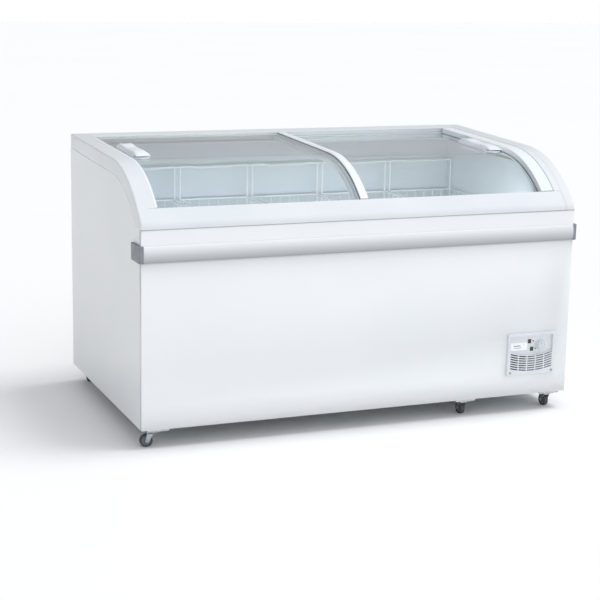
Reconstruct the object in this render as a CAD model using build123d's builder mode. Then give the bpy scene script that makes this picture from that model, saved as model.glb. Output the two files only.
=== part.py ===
from build123d import *
import os
from math import cos, radians, sin, tan

# Chest freezer with a curved glass top, as an assembly of separate pieces.
# Millimetres, +Z up. The customer stands on the -Y side and +X is to the right.
# The origin is on the floor, under the middle of the whole freezer.

os.makedirs("parts", exist_ok=True)

# ---- driving dimensions: the cabinet ----
WIDTH = 1480  # over the steel side panels
DEPTH = 850  # over the front and rear panels
TOP_Z = 870  # rear edge of the top frame
BASE_Z = 60  # underside of the cabinet
RIM_Z = 676  # top of the front wall, where the frame begins
BUMPER_OUT = 10  # bumper strip in front of the front panel
SIDE_BUMPER_OUT = 8  # bumper corners beyond the side panels
SKIN = 1  # steel sheet and tub liner
WALL = 75  # insulated wall, from panel to liner
FLOOR_Z = 130  # inside floor of the tub
STEP_X = 263  # left end of the raised floor over the compressor
STEP_Z = 395  # raised floor
ENGINE_X = 345  # left side of the compressor compartment
ENGINE_TOP_Z = 328  # ceiling of the compressor compartment

SIDE_X = WIDTH / 2
FRONT_Y = BUMPER_OUT / 2 - DEPTH / 2
BACK_Y = FRONT_Y + DEPTH
TUB_X = SIDE_X - WALL
TUB_FRONT_Y = FRONT_Y + WALL
TUB_BACK_Y = BACK_Y - WALL

# ---- driving dimensions: the roof, seen from the side ----
# From the rear edge a straight part slopes gently down to the knee, an arc bends
# down from the knee to the toe, and a straight part ends over the front panel.
SLOPE = radians(1.9)  # fall of the rear part
LEAN = radians(45)  # fall of the front part
ARC_R = 402  # outer radius of the arc
KNEE_Y = -108  # where the arc begins

KNEE_Z = TOP_Z - tan(SLOPE) * (BACK_Y - KNEE_Y)
CENTRE_Y = KNEE_Y + ARC_R * sin(SLOPE)
CENTRE_Z = KNEE_Z - ARC_R * cos(SLOPE)
TOE_Y = CENTRE_Y - ARC_R * sin(LEAN)
TOE_Z = CENTRE_Z + ARC_R * cos(LEAN)
ARC_RUN = ARC_R * (LEAN - SLOPE)

# ---- driving dimensions: frame, lids and their tracks ----
# Insets are measured square to the roof surface, downwards.
FRAME_W = 57  # side frame, across
FRAME_SILL_W = 35  # the part of it that reaches down to the front beam's ends
FRAME_INSET = 48  # depth of the frame
REAR_BEAM_Y = 347  # front edge of the rear beam
LIP = 2  # beam lip over the upper track
TRACK_H = 14  # height of one track
TRACK_DEEP = 10  # how far a track runs under the lip
TONGUE = 1.5  # web between the two tracks
GLASS_T = 4
GLASS_IN = 2.4  # glass below the top of its glider
GLIDER_CLEAR = 0.3  # glider to track, above and below
LID_OVERLAP_RIGHT_X = 13  # right edge of the upper lid
LID_OVERLAP_LEFT_X = -30  # left edge of the lower lid
LID_SIDE_CLEAR = 0.5  # closed lid to side frame

UPPER_TRACK = (LIP, LIP + TRACK_H)
LOWER_TRACK = (LIP + TRACK_H + TONGUE, LIP + 2 * TRACK_H + TONGUE)
LID_EDGE_X = SIDE_X - FRAME_W - LID_SIDE_CLEAR

# ---- driving dimensions: baskets ----
BASKET_PITCH = 266
BASKET_W = 252
BASKET_FRONT_Y = -322
BASKET_BACK_Y = 310
BASKET_RIM_Z = 650
BASKET_FLOOR_Z = 415
HOOP_Z = 768  # top of the tall loop at the rear
WIRE = 4
RAIL_R = 3  # rods that carry the baskets
BASKETS = 5

# ---- driving dimensions: casters ----
WHEEL_R = 20
WHEEL_W = 16
TRAIL = 14  # wheel axle to the swivel axis
AXLE_R = 3
AXLE_CLEAR = 0.08
PLATE_T = 2
RACE_T = 3  # swivel race between the plate and the fork
RAIL_H = 10  # steel channel between the cabinet and the caster plates
CASTER_X = {"left": -690, "middle": 372, "right": 690}
CASTER_Y = {"front": -383, "rear": 388}
TURNED_CASTER = "front_left"  # stands with its wheel turned to the left
TURNED_PLACE = (-702, -385)

# ---- driving dimensions: control panel ----
PANEL_X = 601
PANEL_Z = 199.5
PANEL_W = 180
PANEL_H = 142
PANEL_T = 6  # stands this far in front of the steel
PANEL_DEEP = 14  # from the panel's face to its back
PANEL_OVERLAP_X = 7  # its flange on the steel, at either side
PANEL_OVERLAP_Z = 8  # the same above and below
PANEL_CORNER_CUT = 20  # lower corners of the opening, cut off for the screws
KNOB_X = 635
KNOB_Z = 225.5
KNOB_R = 15


def roof_at(run, inset=0):
    """Point (y, z) on the roof: run is measured along it from the toe, negative up and back."""
    angle = min(LEAN, max(SLOPE, LEAN + run / ARC_R))
    beyond = run if run > 0 else min(0, run + ARC_RUN)
    radius = ARC_R - inset
    y = CENTRE_Y - radius * sin(angle) - beyond * cos(angle)
    return (y, CENTRE_Z + radius * cos(angle) - beyond * sin(angle))


def run_at_y(y):
    """Run of the place on the rear part of the roof that has this y."""
    return (KNEE_Y - y) / cos(SLOPE) - ARC_RUN


def rear_point(y, inset=0):
    """Point with this y under the rear part of the roof."""
    return (y, KNEE_Z + (y - KNEE_Y) * tan(SLOPE) - inset / cos(SLOPE))


def front_point(z, inset=0):
    """Point at this height under the front part of the roof."""
    return (TOE_Y - (TOE_Z - z) / tan(LEAN) + inset / sin(LEAN), z)


def nose_point():
    """Point where the front part of the roof meets the plane of the front panel."""
    return (FRONT_Y, TOE_Z - (TOE_Y - FRONT_Y) * tan(LEAN))


def roof_line(inset, start, end):
    """Draw the roof line at this inset from one run to another, further down it."""
    knee, toe = max(start, -ARC_RUN), min(end, 0)
    if start < -ARC_RUN:
        Line(roof_at(start, inset), roof_at(min(end, -ARC_RUN), inset))
    if knee < toe:
        ThreePointArc(roof_at(knee, inset), roof_at((knee + toe) / 2, inset), roof_at(toe, inset))
    if end > 0:
        Line(roof_at(max(start, 0), inset), roof_at(end, inset))


def block(x, y, z, mode=Mode.ADD):
    """Add or take away a box, given by its (low, high) along each axis."""
    with Locations(((x[0] + x[1]) / 2, (y[0] + y[1]) / 2, (z[0] + z[1]) / 2)):
        Box(x[1] - x[0], y[1] - y[0], z[1] - z[0], mode=mode)


def finish(piece, label):
    """Name a finished piece and write it."""
    piece.part.label = label
    export_step(piece.part, f"parts/{label}.step")


def finish_group(pieces, label):
    """Write pieces that are welded or used together as one node of separate solids."""
    export_step(Compound(label=label, children=[piece.part for piece in pieces]),
                f"parts/{label}.step")


def roof_band(x, top, bottom, start, end):
    """A strip that follows the roof between two insets, drawn on the plane at this x."""
    with BuildSketch(Plane.YZ.offset(x), mode=Mode.PRIVATE) as band:
        with BuildLine():
            roof_line(top, start, end)
            Line(roof_at(end, top), roof_at(end, bottom))
            roof_line(bottom, start, end)
            Line(roof_at(start, bottom), roof_at(start, top))
        make_face()
    return band.sketch


def wall_outline(x, front_y, back_y, foot_z):
    """Side view of the cabinet below the frame, on the plane at this x."""
    with BuildSketch(Plane.YZ.offset(x), mode=Mode.PRIVATE) as outline:
        with BuildLine():
            roof_line(FRAME_INSET, -ARC_RUN, 0)
            Polyline(roof_at(-ARC_RUN, FRAME_INSET), rear_point(back_y, FRAME_INSET),
                     (back_y, foot_z), (front_y, foot_z), (front_y, RIM_Z),
                     front_point(RIM_Z, FRAME_INSET), roof_at(0, FRAME_INSET))
        make_face()
    return outline.sketch


# ---- insulated body: one block of foam with the tub cavity and the compressor bay ----
PANEL_INNER_X = SIDE_X - SKIN
PANEL_INNER_FRONT_Y = FRONT_Y + SKIN
PANEL_INNER_BACK_Y = BACK_Y - SKIN
BEAM_END_X = SIDE_X - FRAME_SILL_W
COIL_R = 4
COIL_RINGS = (440, 490, 540, 590, 640)
COIL_CHANNEL = 2 * COIL_R + 1
COIL_GAP = 12  # half the gap where one ring ends and the next begins

with BuildPart() as cabinet_foam:
    extrude(wall_outline(-PANEL_INNER_X, PANEL_INNER_FRONT_Y, PANEL_INNER_BACK_Y, BASE_Z + SKIN),
            amount=2 * PANEL_INNER_X)
    block((-TUB_X - SKIN, STEP_X + SKIN), (TUB_FRONT_Y - SKIN, TUB_BACK_Y + SKIN),
          (FLOOR_Z - SKIN, TOP_Z), Mode.SUBTRACT)
    block((STEP_X, TUB_X + SKIN), (TUB_FRONT_Y - SKIN, TUB_BACK_Y + SKIN),
          (STEP_Z - SKIN, TOP_Z), Mode.SUBTRACT)
    block((ENGINE_X, PANEL_INNER_X), (PANEL_INNER_FRONT_Y, PANEL_INNER_BACK_Y),
          (BASE_Z, ENGINE_TOP_Z), Mode.SUBTRACT)
    block((-BEAM_END_X, BEAM_END_X), (FRONT_Y, TUB_FRONT_Y), (RIM_Z, TOP_Z), Mode.SUBTRACT)
    for ring_z in COIL_RINGS:
        block((-TUB_X - SKIN - COIL_CHANNEL, TUB_X + SKIN + COIL_CHANNEL),
              (TUB_FRONT_Y - SKIN - COIL_CHANNEL, TUB_BACK_Y + SKIN + COIL_CHANNEL),
              (ring_z - COIL_CHANNEL / 2, ring_z + COIL_CHANNEL / 2), Mode.SUBTRACT)
finish(cabinet_foam, "cabinet_foam")

# ---- tub liner: embossed sheet that lines the cavity, with a step over the bay ----
with BuildPart() as tub_liner:
    extrude(wall_outline(-PANEL_INNER_X, PANEL_INNER_FRONT_Y, PANEL_INNER_BACK_Y, BASE_Z),
            amount=2 * PANEL_INNER_X)
    block((-TUB_X - SKIN, TUB_X + SKIN), (TUB_FRONT_Y - SKIN, TUB_BACK_Y + SKIN),
          (FLOOR_Z - SKIN, TOP_Z), Mode.INTERSECT)
    block((STEP_X + SKIN, TUB_X + SKIN), (TUB_FRONT_Y - SKIN, TUB_BACK_Y + SKIN),
          (FLOOR_Z - SKIN, STEP_Z - SKIN), Mode.SUBTRACT)
    block((-TUB_X, STEP_X), (TUB_FRONT_Y, TUB_BACK_Y), (FLOOR_Z, TOP_Z), Mode.SUBTRACT)
    block((STEP_X, TUB_X), (TUB_FRONT_Y, TUB_BACK_Y), (STEP_Z, TOP_Z), Mode.SUBTRACT)
    block((-TUB_X - SKIN, TUB_X + SKIN), (TUB_FRONT_Y - SKIN, TUB_FRONT_Y),
          (RIM_Z, TOP_Z), Mode.SUBTRACT)
finish(tub_liner, "tub_liner")

# ---- evaporator: rings of tube against the back of the liner, buried in the foam ----
COIL_X = TUB_X + SKIN + COIL_CHANNEL / 2
COIL_FRONT_Y = TUB_FRONT_Y - SKIN - COIL_CHANNEL / 2
COIL_BACK_Y = TUB_BACK_Y + SKIN + COIL_CHANNEL / 2

with BuildPart() as evaporator_tube:
    for ring_z in COIL_RINGS:
        with BuildLine(Plane.XY.offset(ring_z)) as ring:
            FilletPolyline((COIL_GAP, COIL_FRONT_Y), (COIL_X, COIL_FRONT_Y), (COIL_X, COIL_BACK_Y),
                           (-COIL_X, COIL_BACK_Y), (-COIL_X, COIL_FRONT_Y),
                           (-COIL_GAP, COIL_FRONT_Y), radius=COIL_CHANNEL / 2)
        with BuildSketch(Plane(origin=(COIL_GAP, COIL_FRONT_Y, ring_z), z_dir=(1, 0, 0))):
            Circle(COIL_R)
        sweep(path=ring.wires()[0])
finish(evaporator_tube, "evaporator_tube")

# ---- painted steel skins ----
def panel_opening(y, smaller=0):
    """Opening for the control panel, less a gap all round, on the plane at this y."""
    half_w = PANEL_W / 2 - PANEL_OVERLAP_X - smaller
    half_h = PANEL_H / 2 - PANEL_OVERLAP_Z - smaller
    with BuildSketch(Plane.XZ.offset(-y), mode=Mode.PRIVATE) as opening:
        with BuildLine():
            Polyline((PANEL_X - half_w, PANEL_Z + half_h), (PANEL_X + half_w, PANEL_Z + half_h),
                     (PANEL_X + half_w, PANEL_Z - half_h + PANEL_CORNER_CUT),
                     (PANEL_X + half_w - PANEL_CORNER_CUT, PANEL_Z - half_h),
                     (PANEL_X - half_w + PANEL_CORNER_CUT, PANEL_Z - half_h),
                     (PANEL_X - half_w, PANEL_Z - half_h + PANEL_CORNER_CUT), close=True)
        make_face()
    return opening.sketch


with BuildPart() as front_panel:
    block((-SIDE_X, SIDE_X), (FRONT_Y, FRONT_Y + SKIN), (BASE_Z, RIM_Z))
    extrude(panel_opening(FRONT_Y + SKIN), amount=SKIN, mode=Mode.SUBTRACT)
finish(front_panel, "front_panel")

for side, panel_x in (("left", -SIDE_X), ("right", SIDE_X - SKIN)):
    with BuildPart() as side_panel:
        extrude(wall_outline(panel_x, PANEL_INNER_FRONT_Y, PANEL_INNER_BACK_Y, BASE_Z),
                amount=SKIN)
    finish(side_panel, f"{side}_side_panel")

VENT_X = (ENGINE_X + PANEL_INNER_X) / 2
VENT_Z = 190
VENT_W = 300
VENT_H = 180
GLAND_X = VENT_X - VENT_W / 2 - 30
GLAND_Z = 110
GLAND_R = 9
GLAND_BORE_R = 5
GLAND_LIP = 3  # its lip on the inner side of the panel, outwards
GLAND_LIP_T = 4
REAR_TOP_Z = rear_point(BACK_Y - SKIN, FRAME_INSET)[1]

with BuildPart() as rear_panel:
    block((-SIDE_X, SIDE_X), (BACK_Y - SKIN, BACK_Y), (BASE_Z, REAR_TOP_Z))
    block((VENT_X - VENT_W / 2, VENT_X + VENT_W / 2), (BACK_Y - SKIN, BACK_Y),
          (VENT_Z - VENT_H / 2, VENT_Z + VENT_H / 2), Mode.SUBTRACT)
    with BuildSketch(Plane.XZ.offset(-BACK_Y)):
        with Locations((GLAND_X, GLAND_Z)):
            Circle(GLAND_R)
    extrude(amount=SKIN, mode=Mode.SUBTRACT)
finish(rear_panel, "rear_panel")

with BuildPart() as bottom_pan:
    block((-PANEL_INNER_X, ENGINE_X), (PANEL_INNER_FRONT_Y, PANEL_INNER_BACK_Y),
          (BASE_Z, BASE_Z + SKIN))
finish(bottom_pan, "bottom_pan")

# ---- vent cover of the compressor bay: pressed louvres in a steel frame ----
VENT_COVER_T = 1.2
SLOT_H = 5
SLOT_PITCH = 14
SLOT_ROWS = 11
SLOT_W = 124
SLOT_GAP = 12  # between the two columns of slots

with BuildPart() as rear_vent:
    with BuildSketch(Plane.XZ.offset(-BACK_Y)):
        with Locations((VENT_X, VENT_Z)):
            Rectangle(VENT_W, VENT_H)
            with GridLocations(SLOT_W + SLOT_GAP, SLOT_PITCH, 2, SLOT_ROWS):
                SlotOverall(SLOT_W, SLOT_H, mode=Mode.SUBTRACT)
    extrude(amount=VENT_COVER_T)
finish(rear_vent, "rear_vent")

# ---- cord gland of the compressor bay, a grommet in the rear panel ----
with BuildPart() as cord_gland:
    with BuildSketch(Plane.XZ.offset(-BACK_Y)):
        with Locations((GLAND_X, GLAND_Z)):
            Circle(GLAND_R)
            Circle(GLAND_BORE_R, mode=Mode.SUBTRACT)
    extrude(amount=SKIN)
    with BuildSketch(Plane.XZ.offset(-BACK_Y + SKIN)):
        with Locations((GLAND_X, GLAND_Z)):
            Circle(GLAND_R + GLAND_LIP)
            Circle(GLAND_BORE_R, mode=Mode.SUBTRACT)
    extrude(amount=GLAND_LIP_T)
finish(cord_gland, "cord_gland")

# ---- side frames: moulded strips that cap the side walls and follow the roof ----
def side_frame(name, outer_x, inner_x, sill_x):
    """A strip over one side wall; the part below the toe stops at the front beam's end."""
    low, high = sorted((outer_x, inner_x))
    sill_low, sill_high = sorted((outer_x, sill_x))
    with BuildPart() as frame:
        with BuildSketch(Plane.YZ.offset(low)):
            with BuildLine():
                roof_line(0, -ARC_RUN, 0)
                roof_line(FRAME_INSET, -ARC_RUN, 0)
                Line(roof_at(0), roof_at(0, FRAME_INSET))
                Polyline(roof_at(-ARC_RUN), rear_point(BACK_Y), rear_point(BACK_Y, FRAME_INSET),
                         roof_at(-ARC_RUN, FRAME_INSET))
            make_face()
        extrude(amount=high - low)
        with BuildSketch(Plane.YZ.offset(sill_low)):
            with BuildLine():
                Polyline(roof_at(0), nose_point(), (FRONT_Y, RIM_Z),
                         front_point(RIM_Z, FRAME_INSET), roof_at(0, FRAME_INSET), close=True)
            make_face()
        extrude(amount=sill_high - sill_low)
    finish(frame, name)


side_frame("left_frame", -SIDE_X, FRAME_W - SIDE_X, -BEAM_END_X)
side_frame("right_frame", SIDE_X, SIDE_X - FRAME_W, BEAM_END_X)

# ---- front and rear beams: extrusions with an upper and a lower track for the lids ----
BEAM_X = SIDE_X - FRAME_W
TONGUE_OUT = 2  # how far the web between the tracks shows past the lip
SHELF_OUT = 6  # how far the floor of the lower track shows past the lip
SHELF_T = 6  # thickness of that floor
UPPER_TOP, UPPER_FLOOR = UPPER_TRACK
LOWER_TOP, LOWER_FLOOR = LOWER_TRACK
SHELF_FLOOR = LOWER_FLOOR + SHELF_T
REAR_RUN = run_at_y(REAR_BEAM_Y)


def rear_place(run, inset):
    """Place on the rear beam, so far behind its front edge."""
    return roof_at(REAR_RUN - run, inset)


def track_edge(place):
    """Corners of the tracked edge of a beam, from its lip down; place(run, inset) says where."""
    return [place(0, 0), place(0, UPPER_TOP), place(TRACK_DEEP, UPPER_TOP),
            place(TRACK_DEEP, UPPER_FLOOR), place(-TONGUE_OUT, UPPER_FLOOR),
            place(-TONGUE_OUT, LOWER_TOP), place(TRACK_DEEP, LOWER_TOP),
            place(TRACK_DEEP, LOWER_FLOOR), place(-SHELF_OUT, LOWER_FLOOR),
            place(-SHELF_OUT, SHELF_FLOOR)]


with BuildPart() as front_beam:
    with BuildSketch(Plane.YZ.offset(-BEAM_X)):
        with BuildLine():
            Polyline((FRONT_Y, RIM_Z), nose_point(), *track_edge(roof_at),
                     (TUB_FRONT_Y, roof_at(-SHELF_OUT, SHELF_FLOOR)[1] - SHELF_T),
                     (TUB_FRONT_Y, RIM_Z), close=True)
        make_face()
    extrude(amount=2 * BEAM_X)
    for end_x in (-BEAM_END_X, BEAM_X):
        with BuildSketch(Plane.YZ.offset(end_x)):
            with BuildLine():
                Polyline((FRONT_Y, RIM_Z), nose_point(), roof_at(0), (TUB_FRONT_Y, RIM_Z),
                         close=True)
            make_face()
        extrude(amount=BEAM_END_X - BEAM_X)
finish(front_beam, "front_beam")

with BuildPart() as rear_beam:
    with BuildSketch(Plane.YZ.offset(-BEAM_X)):
        with BuildLine():
            Polyline(rear_point(BACK_Y, FRAME_INSET), rear_point(BACK_Y), *track_edge(rear_place),
                     rear_point(TUB_BACK_Y, SHELF_FLOOR), rear_point(TUB_BACK_Y, FRAME_INSET),
                     close=True)
        make_face()
    extrude(amount=2 * BEAM_X)
finish(rear_beam, "rear_beam")

# ---- basket rails: a rod along each long wall, on short brackets ----
BRACKET_T = 3
BRACKET_W = 14
RAIL_END = 1  # rail's end to the liner
FRONT_RAIL_Y = TUB_FRONT_Y + 14
FRONT_RAIL_Z = BASKET_RIM_Z - 2 - RAIL_R
REAR_RAIL_Y = TUB_BACK_Y - 30
REAR_RAIL_Z = HOOP_Z - WIRE - RAIL_R
BASKET_X = [(number - (BASKETS - 1) / 2) * BASKET_PITCH for number in range(BASKETS)]

with BuildPart() as basket_rails:
    for rail_y, rail_z, wall_y in ((FRONT_RAIL_Y, FRONT_RAIL_Z, TUB_FRONT_Y),
                                   (REAR_RAIL_Y, REAR_RAIL_Z, TUB_BACK_Y)):
        with BuildSketch(Plane.YZ.offset(-TUB_X + RAIL_END)):
            with Locations((rail_y, rail_z)):
                Circle(RAIL_R)
        extrude(amount=2 * (TUB_X - RAIL_END))
        for bracket_x in BASKET_X:
            block((bracket_x - BRACKET_W / 2, bracket_x + BRACKET_W / 2),
                  sorted((rail_y, wall_y)), (rail_z - BRACKET_T, rail_z))
finish(basket_rails, "basket_rails")

# ---- lids: a bent pane in plastic edge strips, with gliders that run in the tracks ----
GLIDER_IN = 0.5  # end of the glider behind the mouth of the track
GLIDER_OUT = TRACK_DEEP - 0.5
PANE_OUT = TRACK_DEEP - 3  # end of the glass in the track
STRIP_GAP = 3  # edge strips stop this far before the lip
HANDLE_W = 52
HANDLE_L = 245
HANDLE_FRONT = 2 - ARC_RUN  # run of its front end, at the knee of the roof
HANDLE_BACK = HANDLE_FRONT - HANDLE_L
HANDLE_BASE_T = 3
HANDLE_MOUTH = 4  # gap between base and grip at the front
HANDLE_MOUTH_IN = 28  # depth of that gap
HANDLE_LIP = 3  # height of the grip over the gap
HANDLE_WAVE = ((0.28, 20), (0.52, 17), (0.74, 19), (0.9, 16))  # share of the length, height
TAPE = 0.3  # adhesive tape under the handle


def lid(name, track, pane_x, left_strip, right_strip, handle_x):
    """One sliding lid. Each strip is (low x, high x, top inset, bottom inset)."""
    top, floor = track
    glass_top = top + GLASS_IN
    glass = (glass_top, glass_top + GLASS_T)
    strips = {"left": left_strip, "right": right_strip}
    lid_x = (left_strip[0], right_strip[1])

    with BuildPart() as pane:
        extrude(roof_band(pane_x[0], *glass, REAR_RUN - PANE_OUT, PANE_OUT),
                amount=pane_x[1] - pane_x[0])
    finish(pane, f"{name}_glass")

    for side, (low, high, strip_top, strip_bottom) in strips.items():
        with BuildPart() as strip:
            extrude(roof_band(low, strip_top, strip_bottom, REAR_RUN + STRIP_GAP, -STRIP_GAP),
                    amount=high - low)
            add(pane.part, mode=Mode.SUBTRACT)
        finish(strip, f"{name}_{side}_strip")

    with BuildPart() as gliders:
        for start, end in ((GLIDER_IN, GLIDER_OUT), (REAR_RUN - GLIDER_OUT, REAR_RUN - GLIDER_IN)):
            extrude(roof_band(lid_x[0], top + GLIDER_CLEAR, floor - GLIDER_CLEAR, start, end),
                    amount=lid_x[1] - lid_x[0])
        add(pane.part, mode=Mode.SUBTRACT)
    finish(gliders, f"{name}_gliders")

    base_bottom = glass_top - TAPE
    base_top = base_bottom - HANDLE_BASE_T
    mouth_top = base_top - HANDLE_MOUTH
    with BuildPart() as handle:
        with BuildSketch(Plane.YZ.offset(handle_x - HANDLE_W / 2)):
            with BuildLine():
                roof_line(base_bottom, HANDLE_BACK, HANDLE_FRONT)
                Line(roof_at(HANDLE_BACK, base_bottom), roof_at(HANDLE_BACK, base_top))
                Spline(roof_at(HANDLE_BACK, base_top),
                       *[roof_at(HANDLE_BACK + share * HANDLE_L, base_bottom - height)
                         for share, height in HANDLE_WAVE],
                       roof_at(HANDLE_FRONT, mouth_top - HANDLE_LIP))
                Polyline(roof_at(HANDLE_FRONT, mouth_top - HANDLE_LIP),
                         roof_at(HANDLE_FRONT, mouth_top),
                         roof_at(HANDLE_FRONT - HANDLE_MOUTH_IN, mouth_top),
                         roof_at(HANDLE_FRONT - HANDLE_MOUTH_IN, base_top),
                         roof_at(HANDLE_FRONT, base_top), roof_at(HANDLE_FRONT, base_bottom))
            make_face()
        extrude(amount=HANDLE_W)
    finish(handle, f"{name}_handle")


PANE_EDGE = 4  # how far a strip reaches past the glass it holds
PANE_LEFT_EDGE = 2
PANE_RIGHT_EDGE = 36
STRIP_CLEAR = 0.5  # strip to the floor of its track
LEFT_STRIP_W = 7
LEFT_STRIP_TOP = 1.5
MIDDLE_STRIP_W = 27
MIDDLE_STRIP_TOP = 0.5
UNDER_STRIP_W = 14  # strip of the lower lid under the middle strip
RIGHT_STRIP_W = 46
RIGHT_STRIP_TOP = 1
UPPER_HANDLE_X = -640
LOWER_HANDLE_X = 610
UPPER_STRIP_FLOOR = UPPER_FLOOR - STRIP_CLEAR
LOWER_STRIP_FLOOR = LOWER_FLOOR - STRIP_CLEAR
lid("upper_lid", UPPER_TRACK, (-LID_EDGE_X + PANE_LEFT_EDGE, LID_OVERLAP_RIGHT_X - PANE_EDGE),
    (-LID_EDGE_X, -LID_EDGE_X + LEFT_STRIP_W, LEFT_STRIP_TOP, UPPER_STRIP_FLOOR),
    (LID_OVERLAP_RIGHT_X - MIDDLE_STRIP_W, LID_OVERLAP_RIGHT_X, MIDDLE_STRIP_TOP,
     UPPER_STRIP_FLOOR), UPPER_HANDLE_X)
lid("lower_lid", LOWER_TRACK, (LID_OVERLAP_LEFT_X + PANE_EDGE, LID_EDGE_X - PANE_RIGHT_EDGE),
    (LID_OVERLAP_LEFT_X, LID_OVERLAP_LEFT_X + UNDER_STRIP_W, LOWER_TOP + STRIP_CLEAR,
     LOWER_STRIP_FLOOR),
    (LID_EDGE_X - RIGHT_STRIP_W, LID_EDGE_X, RIGHT_STRIP_TOP, LOWER_STRIP_FLOOR),
    LOWER_HANDLE_X)

# ---- baskets: white wire mesh, each hung from the front rail by two hooks on its rim and
# from the rear rail by two hooks on a tall loop ----
MESH_COLUMNS = 7
MESH_ROWS = 17
WALL_ROWS = 3
FRONT_HOOK_X = 90  # front hooks to the middle of the basket
HOOK_CLEAR = 0.5
HOOK_LEG = 8
HALF_W = BASKET_W / 2
BASKET_TOP = BASKET_FLOOR_Z + WIRE
BASKET_MID_Y = (BASKET_FRONT_Y + BASKET_BACK_Y) / 2


def mesh_plate(plane, width, height, columns, rows):
    """A flat wire mesh, one wire thick, centred on this plane's origin."""
    step_x = (width - WIRE) / columns
    step_y = (height - WIRE) / rows
    with BuildPart() as plate:
        with BuildSketch(plane):
            Rectangle(width, height)
            with GridLocations(step_x, step_y, columns, rows):
                Rectangle(step_x - WIRE, step_y - WIRE, mode=Mode.SUBTRACT)
        extrude(amount=WIRE)
    return plate


def wire_bar(x, y, z):
    """A straight wire, given by its (low, high) along each axis."""
    with BuildPart() as bar:
        block(x, y, z)
    return bar


def wire_hook(x, rim_y, rail_y, top_z):
    """A hook from the rim over a rail: a wire across its top and a leg behind it."""
    outward = 1 if rail_y > rim_y else -1
    leg = rail_y + outward * (RAIL_R + HOOK_CLEAR)
    leg_end = leg + outward * WIRE
    return [wire_bar((x, x + WIRE), sorted((rim_y, leg_end)), (top_z - WIRE, top_z)),
            wire_bar((x, x + WIRE), sorted((leg, leg_end)),
                     (top_z - WIRE - HOOK_LEG, top_z - WIRE))]


def basket(name, x):
    """Floor, four walls, the rear loop and the four hooks."""
    wall_h = BASKET_RIM_Z - BASKET_TOP
    wall_z = BASKET_TOP + wall_h / 2
    side_d = BASKET_BACK_Y - BASKET_FRONT_Y - 2 * WIRE
    front = Plane(origin=(x, BASKET_FRONT_Y, wall_z), x_dir=(1, 0, 0), z_dir=(0, 1, 0))
    rear = Plane(origin=(x, BASKET_BACK_Y - WIRE, wall_z), x_dir=(1, 0, 0), z_dir=(0, 1, 0))
    left = Plane(origin=(x - HALF_W, BASKET_MID_Y, wall_z), x_dir=(0, 1, 0), z_dir=(1, 0, 0))
    right = Plane(origin=(x + HALF_W - WIRE, BASKET_MID_Y, wall_z), x_dir=(0, 1, 0),
                  z_dir=(1, 0, 0))
    floor = Plane.XY.move(Location((x, BASKET_MID_Y, BASKET_FLOOR_Z)))
    loop_y = (BASKET_BACK_Y - WIRE, BASKET_BACK_Y)
    pieces = [mesh_plate(floor, BASKET_W, side_d + 2 * WIRE, MESH_COLUMNS, MESH_ROWS),
              mesh_plate(front, BASKET_W, wall_h, MESH_COLUMNS, WALL_ROWS),
              mesh_plate(rear, BASKET_W, wall_h, MESH_COLUMNS, WALL_ROWS),
              mesh_plate(left, side_d, wall_h, MESH_ROWS, WALL_ROWS),
              mesh_plate(right, side_d, wall_h, MESH_ROWS, WALL_ROWS),
              wire_bar((x - HALF_W, x + HALF_W), loop_y, (HOOP_Z - WIRE, HOOP_Z))]
    for side in (-HALF_W, HALF_W - WIRE):
        pieces.append(wire_bar((x + side, x + side + WIRE), loop_y,
                               (BASKET_RIM_Z, HOOP_Z - WIRE)))
        pieces += wire_hook(x + side, BASKET_BACK_Y, REAR_RAIL_Y, HOOP_Z)
    for side in (-FRONT_HOOK_X, FRONT_HOOK_X - WIRE):
        pieces += wire_hook(x + side, BASKET_FRONT_Y, FRONT_RAIL_Y, FRONT_RAIL_Z + RAIL_R + WIRE)
    finish_group(pieces, name)


for number, basket_x in enumerate(BASKET_X, 1):
    basket(f"basket_{number}", basket_x)

# ---- bumper: a convex aluminium strip along the front, with a corner piece at each end ----
BUMPER_Z = (577, 629)
BUMPER_EDGE = 6  # how far its flat edges stand out
BUMPER_END_X = SIDE_X - 6
CORNER_BACK_Y = FRONT_Y + 80
CORNER_OUT = 9  # corner piece in front of the panel
CORNER_R = 7
CORNER_BEVEL = 3

with BuildPart() as front_bumper:
    with BuildSketch(Plane.YZ.offset(-BUMPER_END_X)):
        with BuildLine():
            ThreePointArc((FRONT_Y - BUMPER_EDGE, BUMPER_Z[0]),
                          (FRONT_Y - BUMPER_OUT, sum(BUMPER_Z) / 2),
                          (FRONT_Y - BUMPER_EDGE, BUMPER_Z[1]))
            Polyline((FRONT_Y - BUMPER_EDGE, BUMPER_Z[1]), (FRONT_Y, BUMPER_Z[1]),
                     (FRONT_Y, BUMPER_Z[0]), (FRONT_Y - BUMPER_EDGE, BUMPER_Z[0]))
        make_face()
    extrude(amount=2 * BUMPER_END_X)
finish(front_bumper, "front_bumper")


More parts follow.
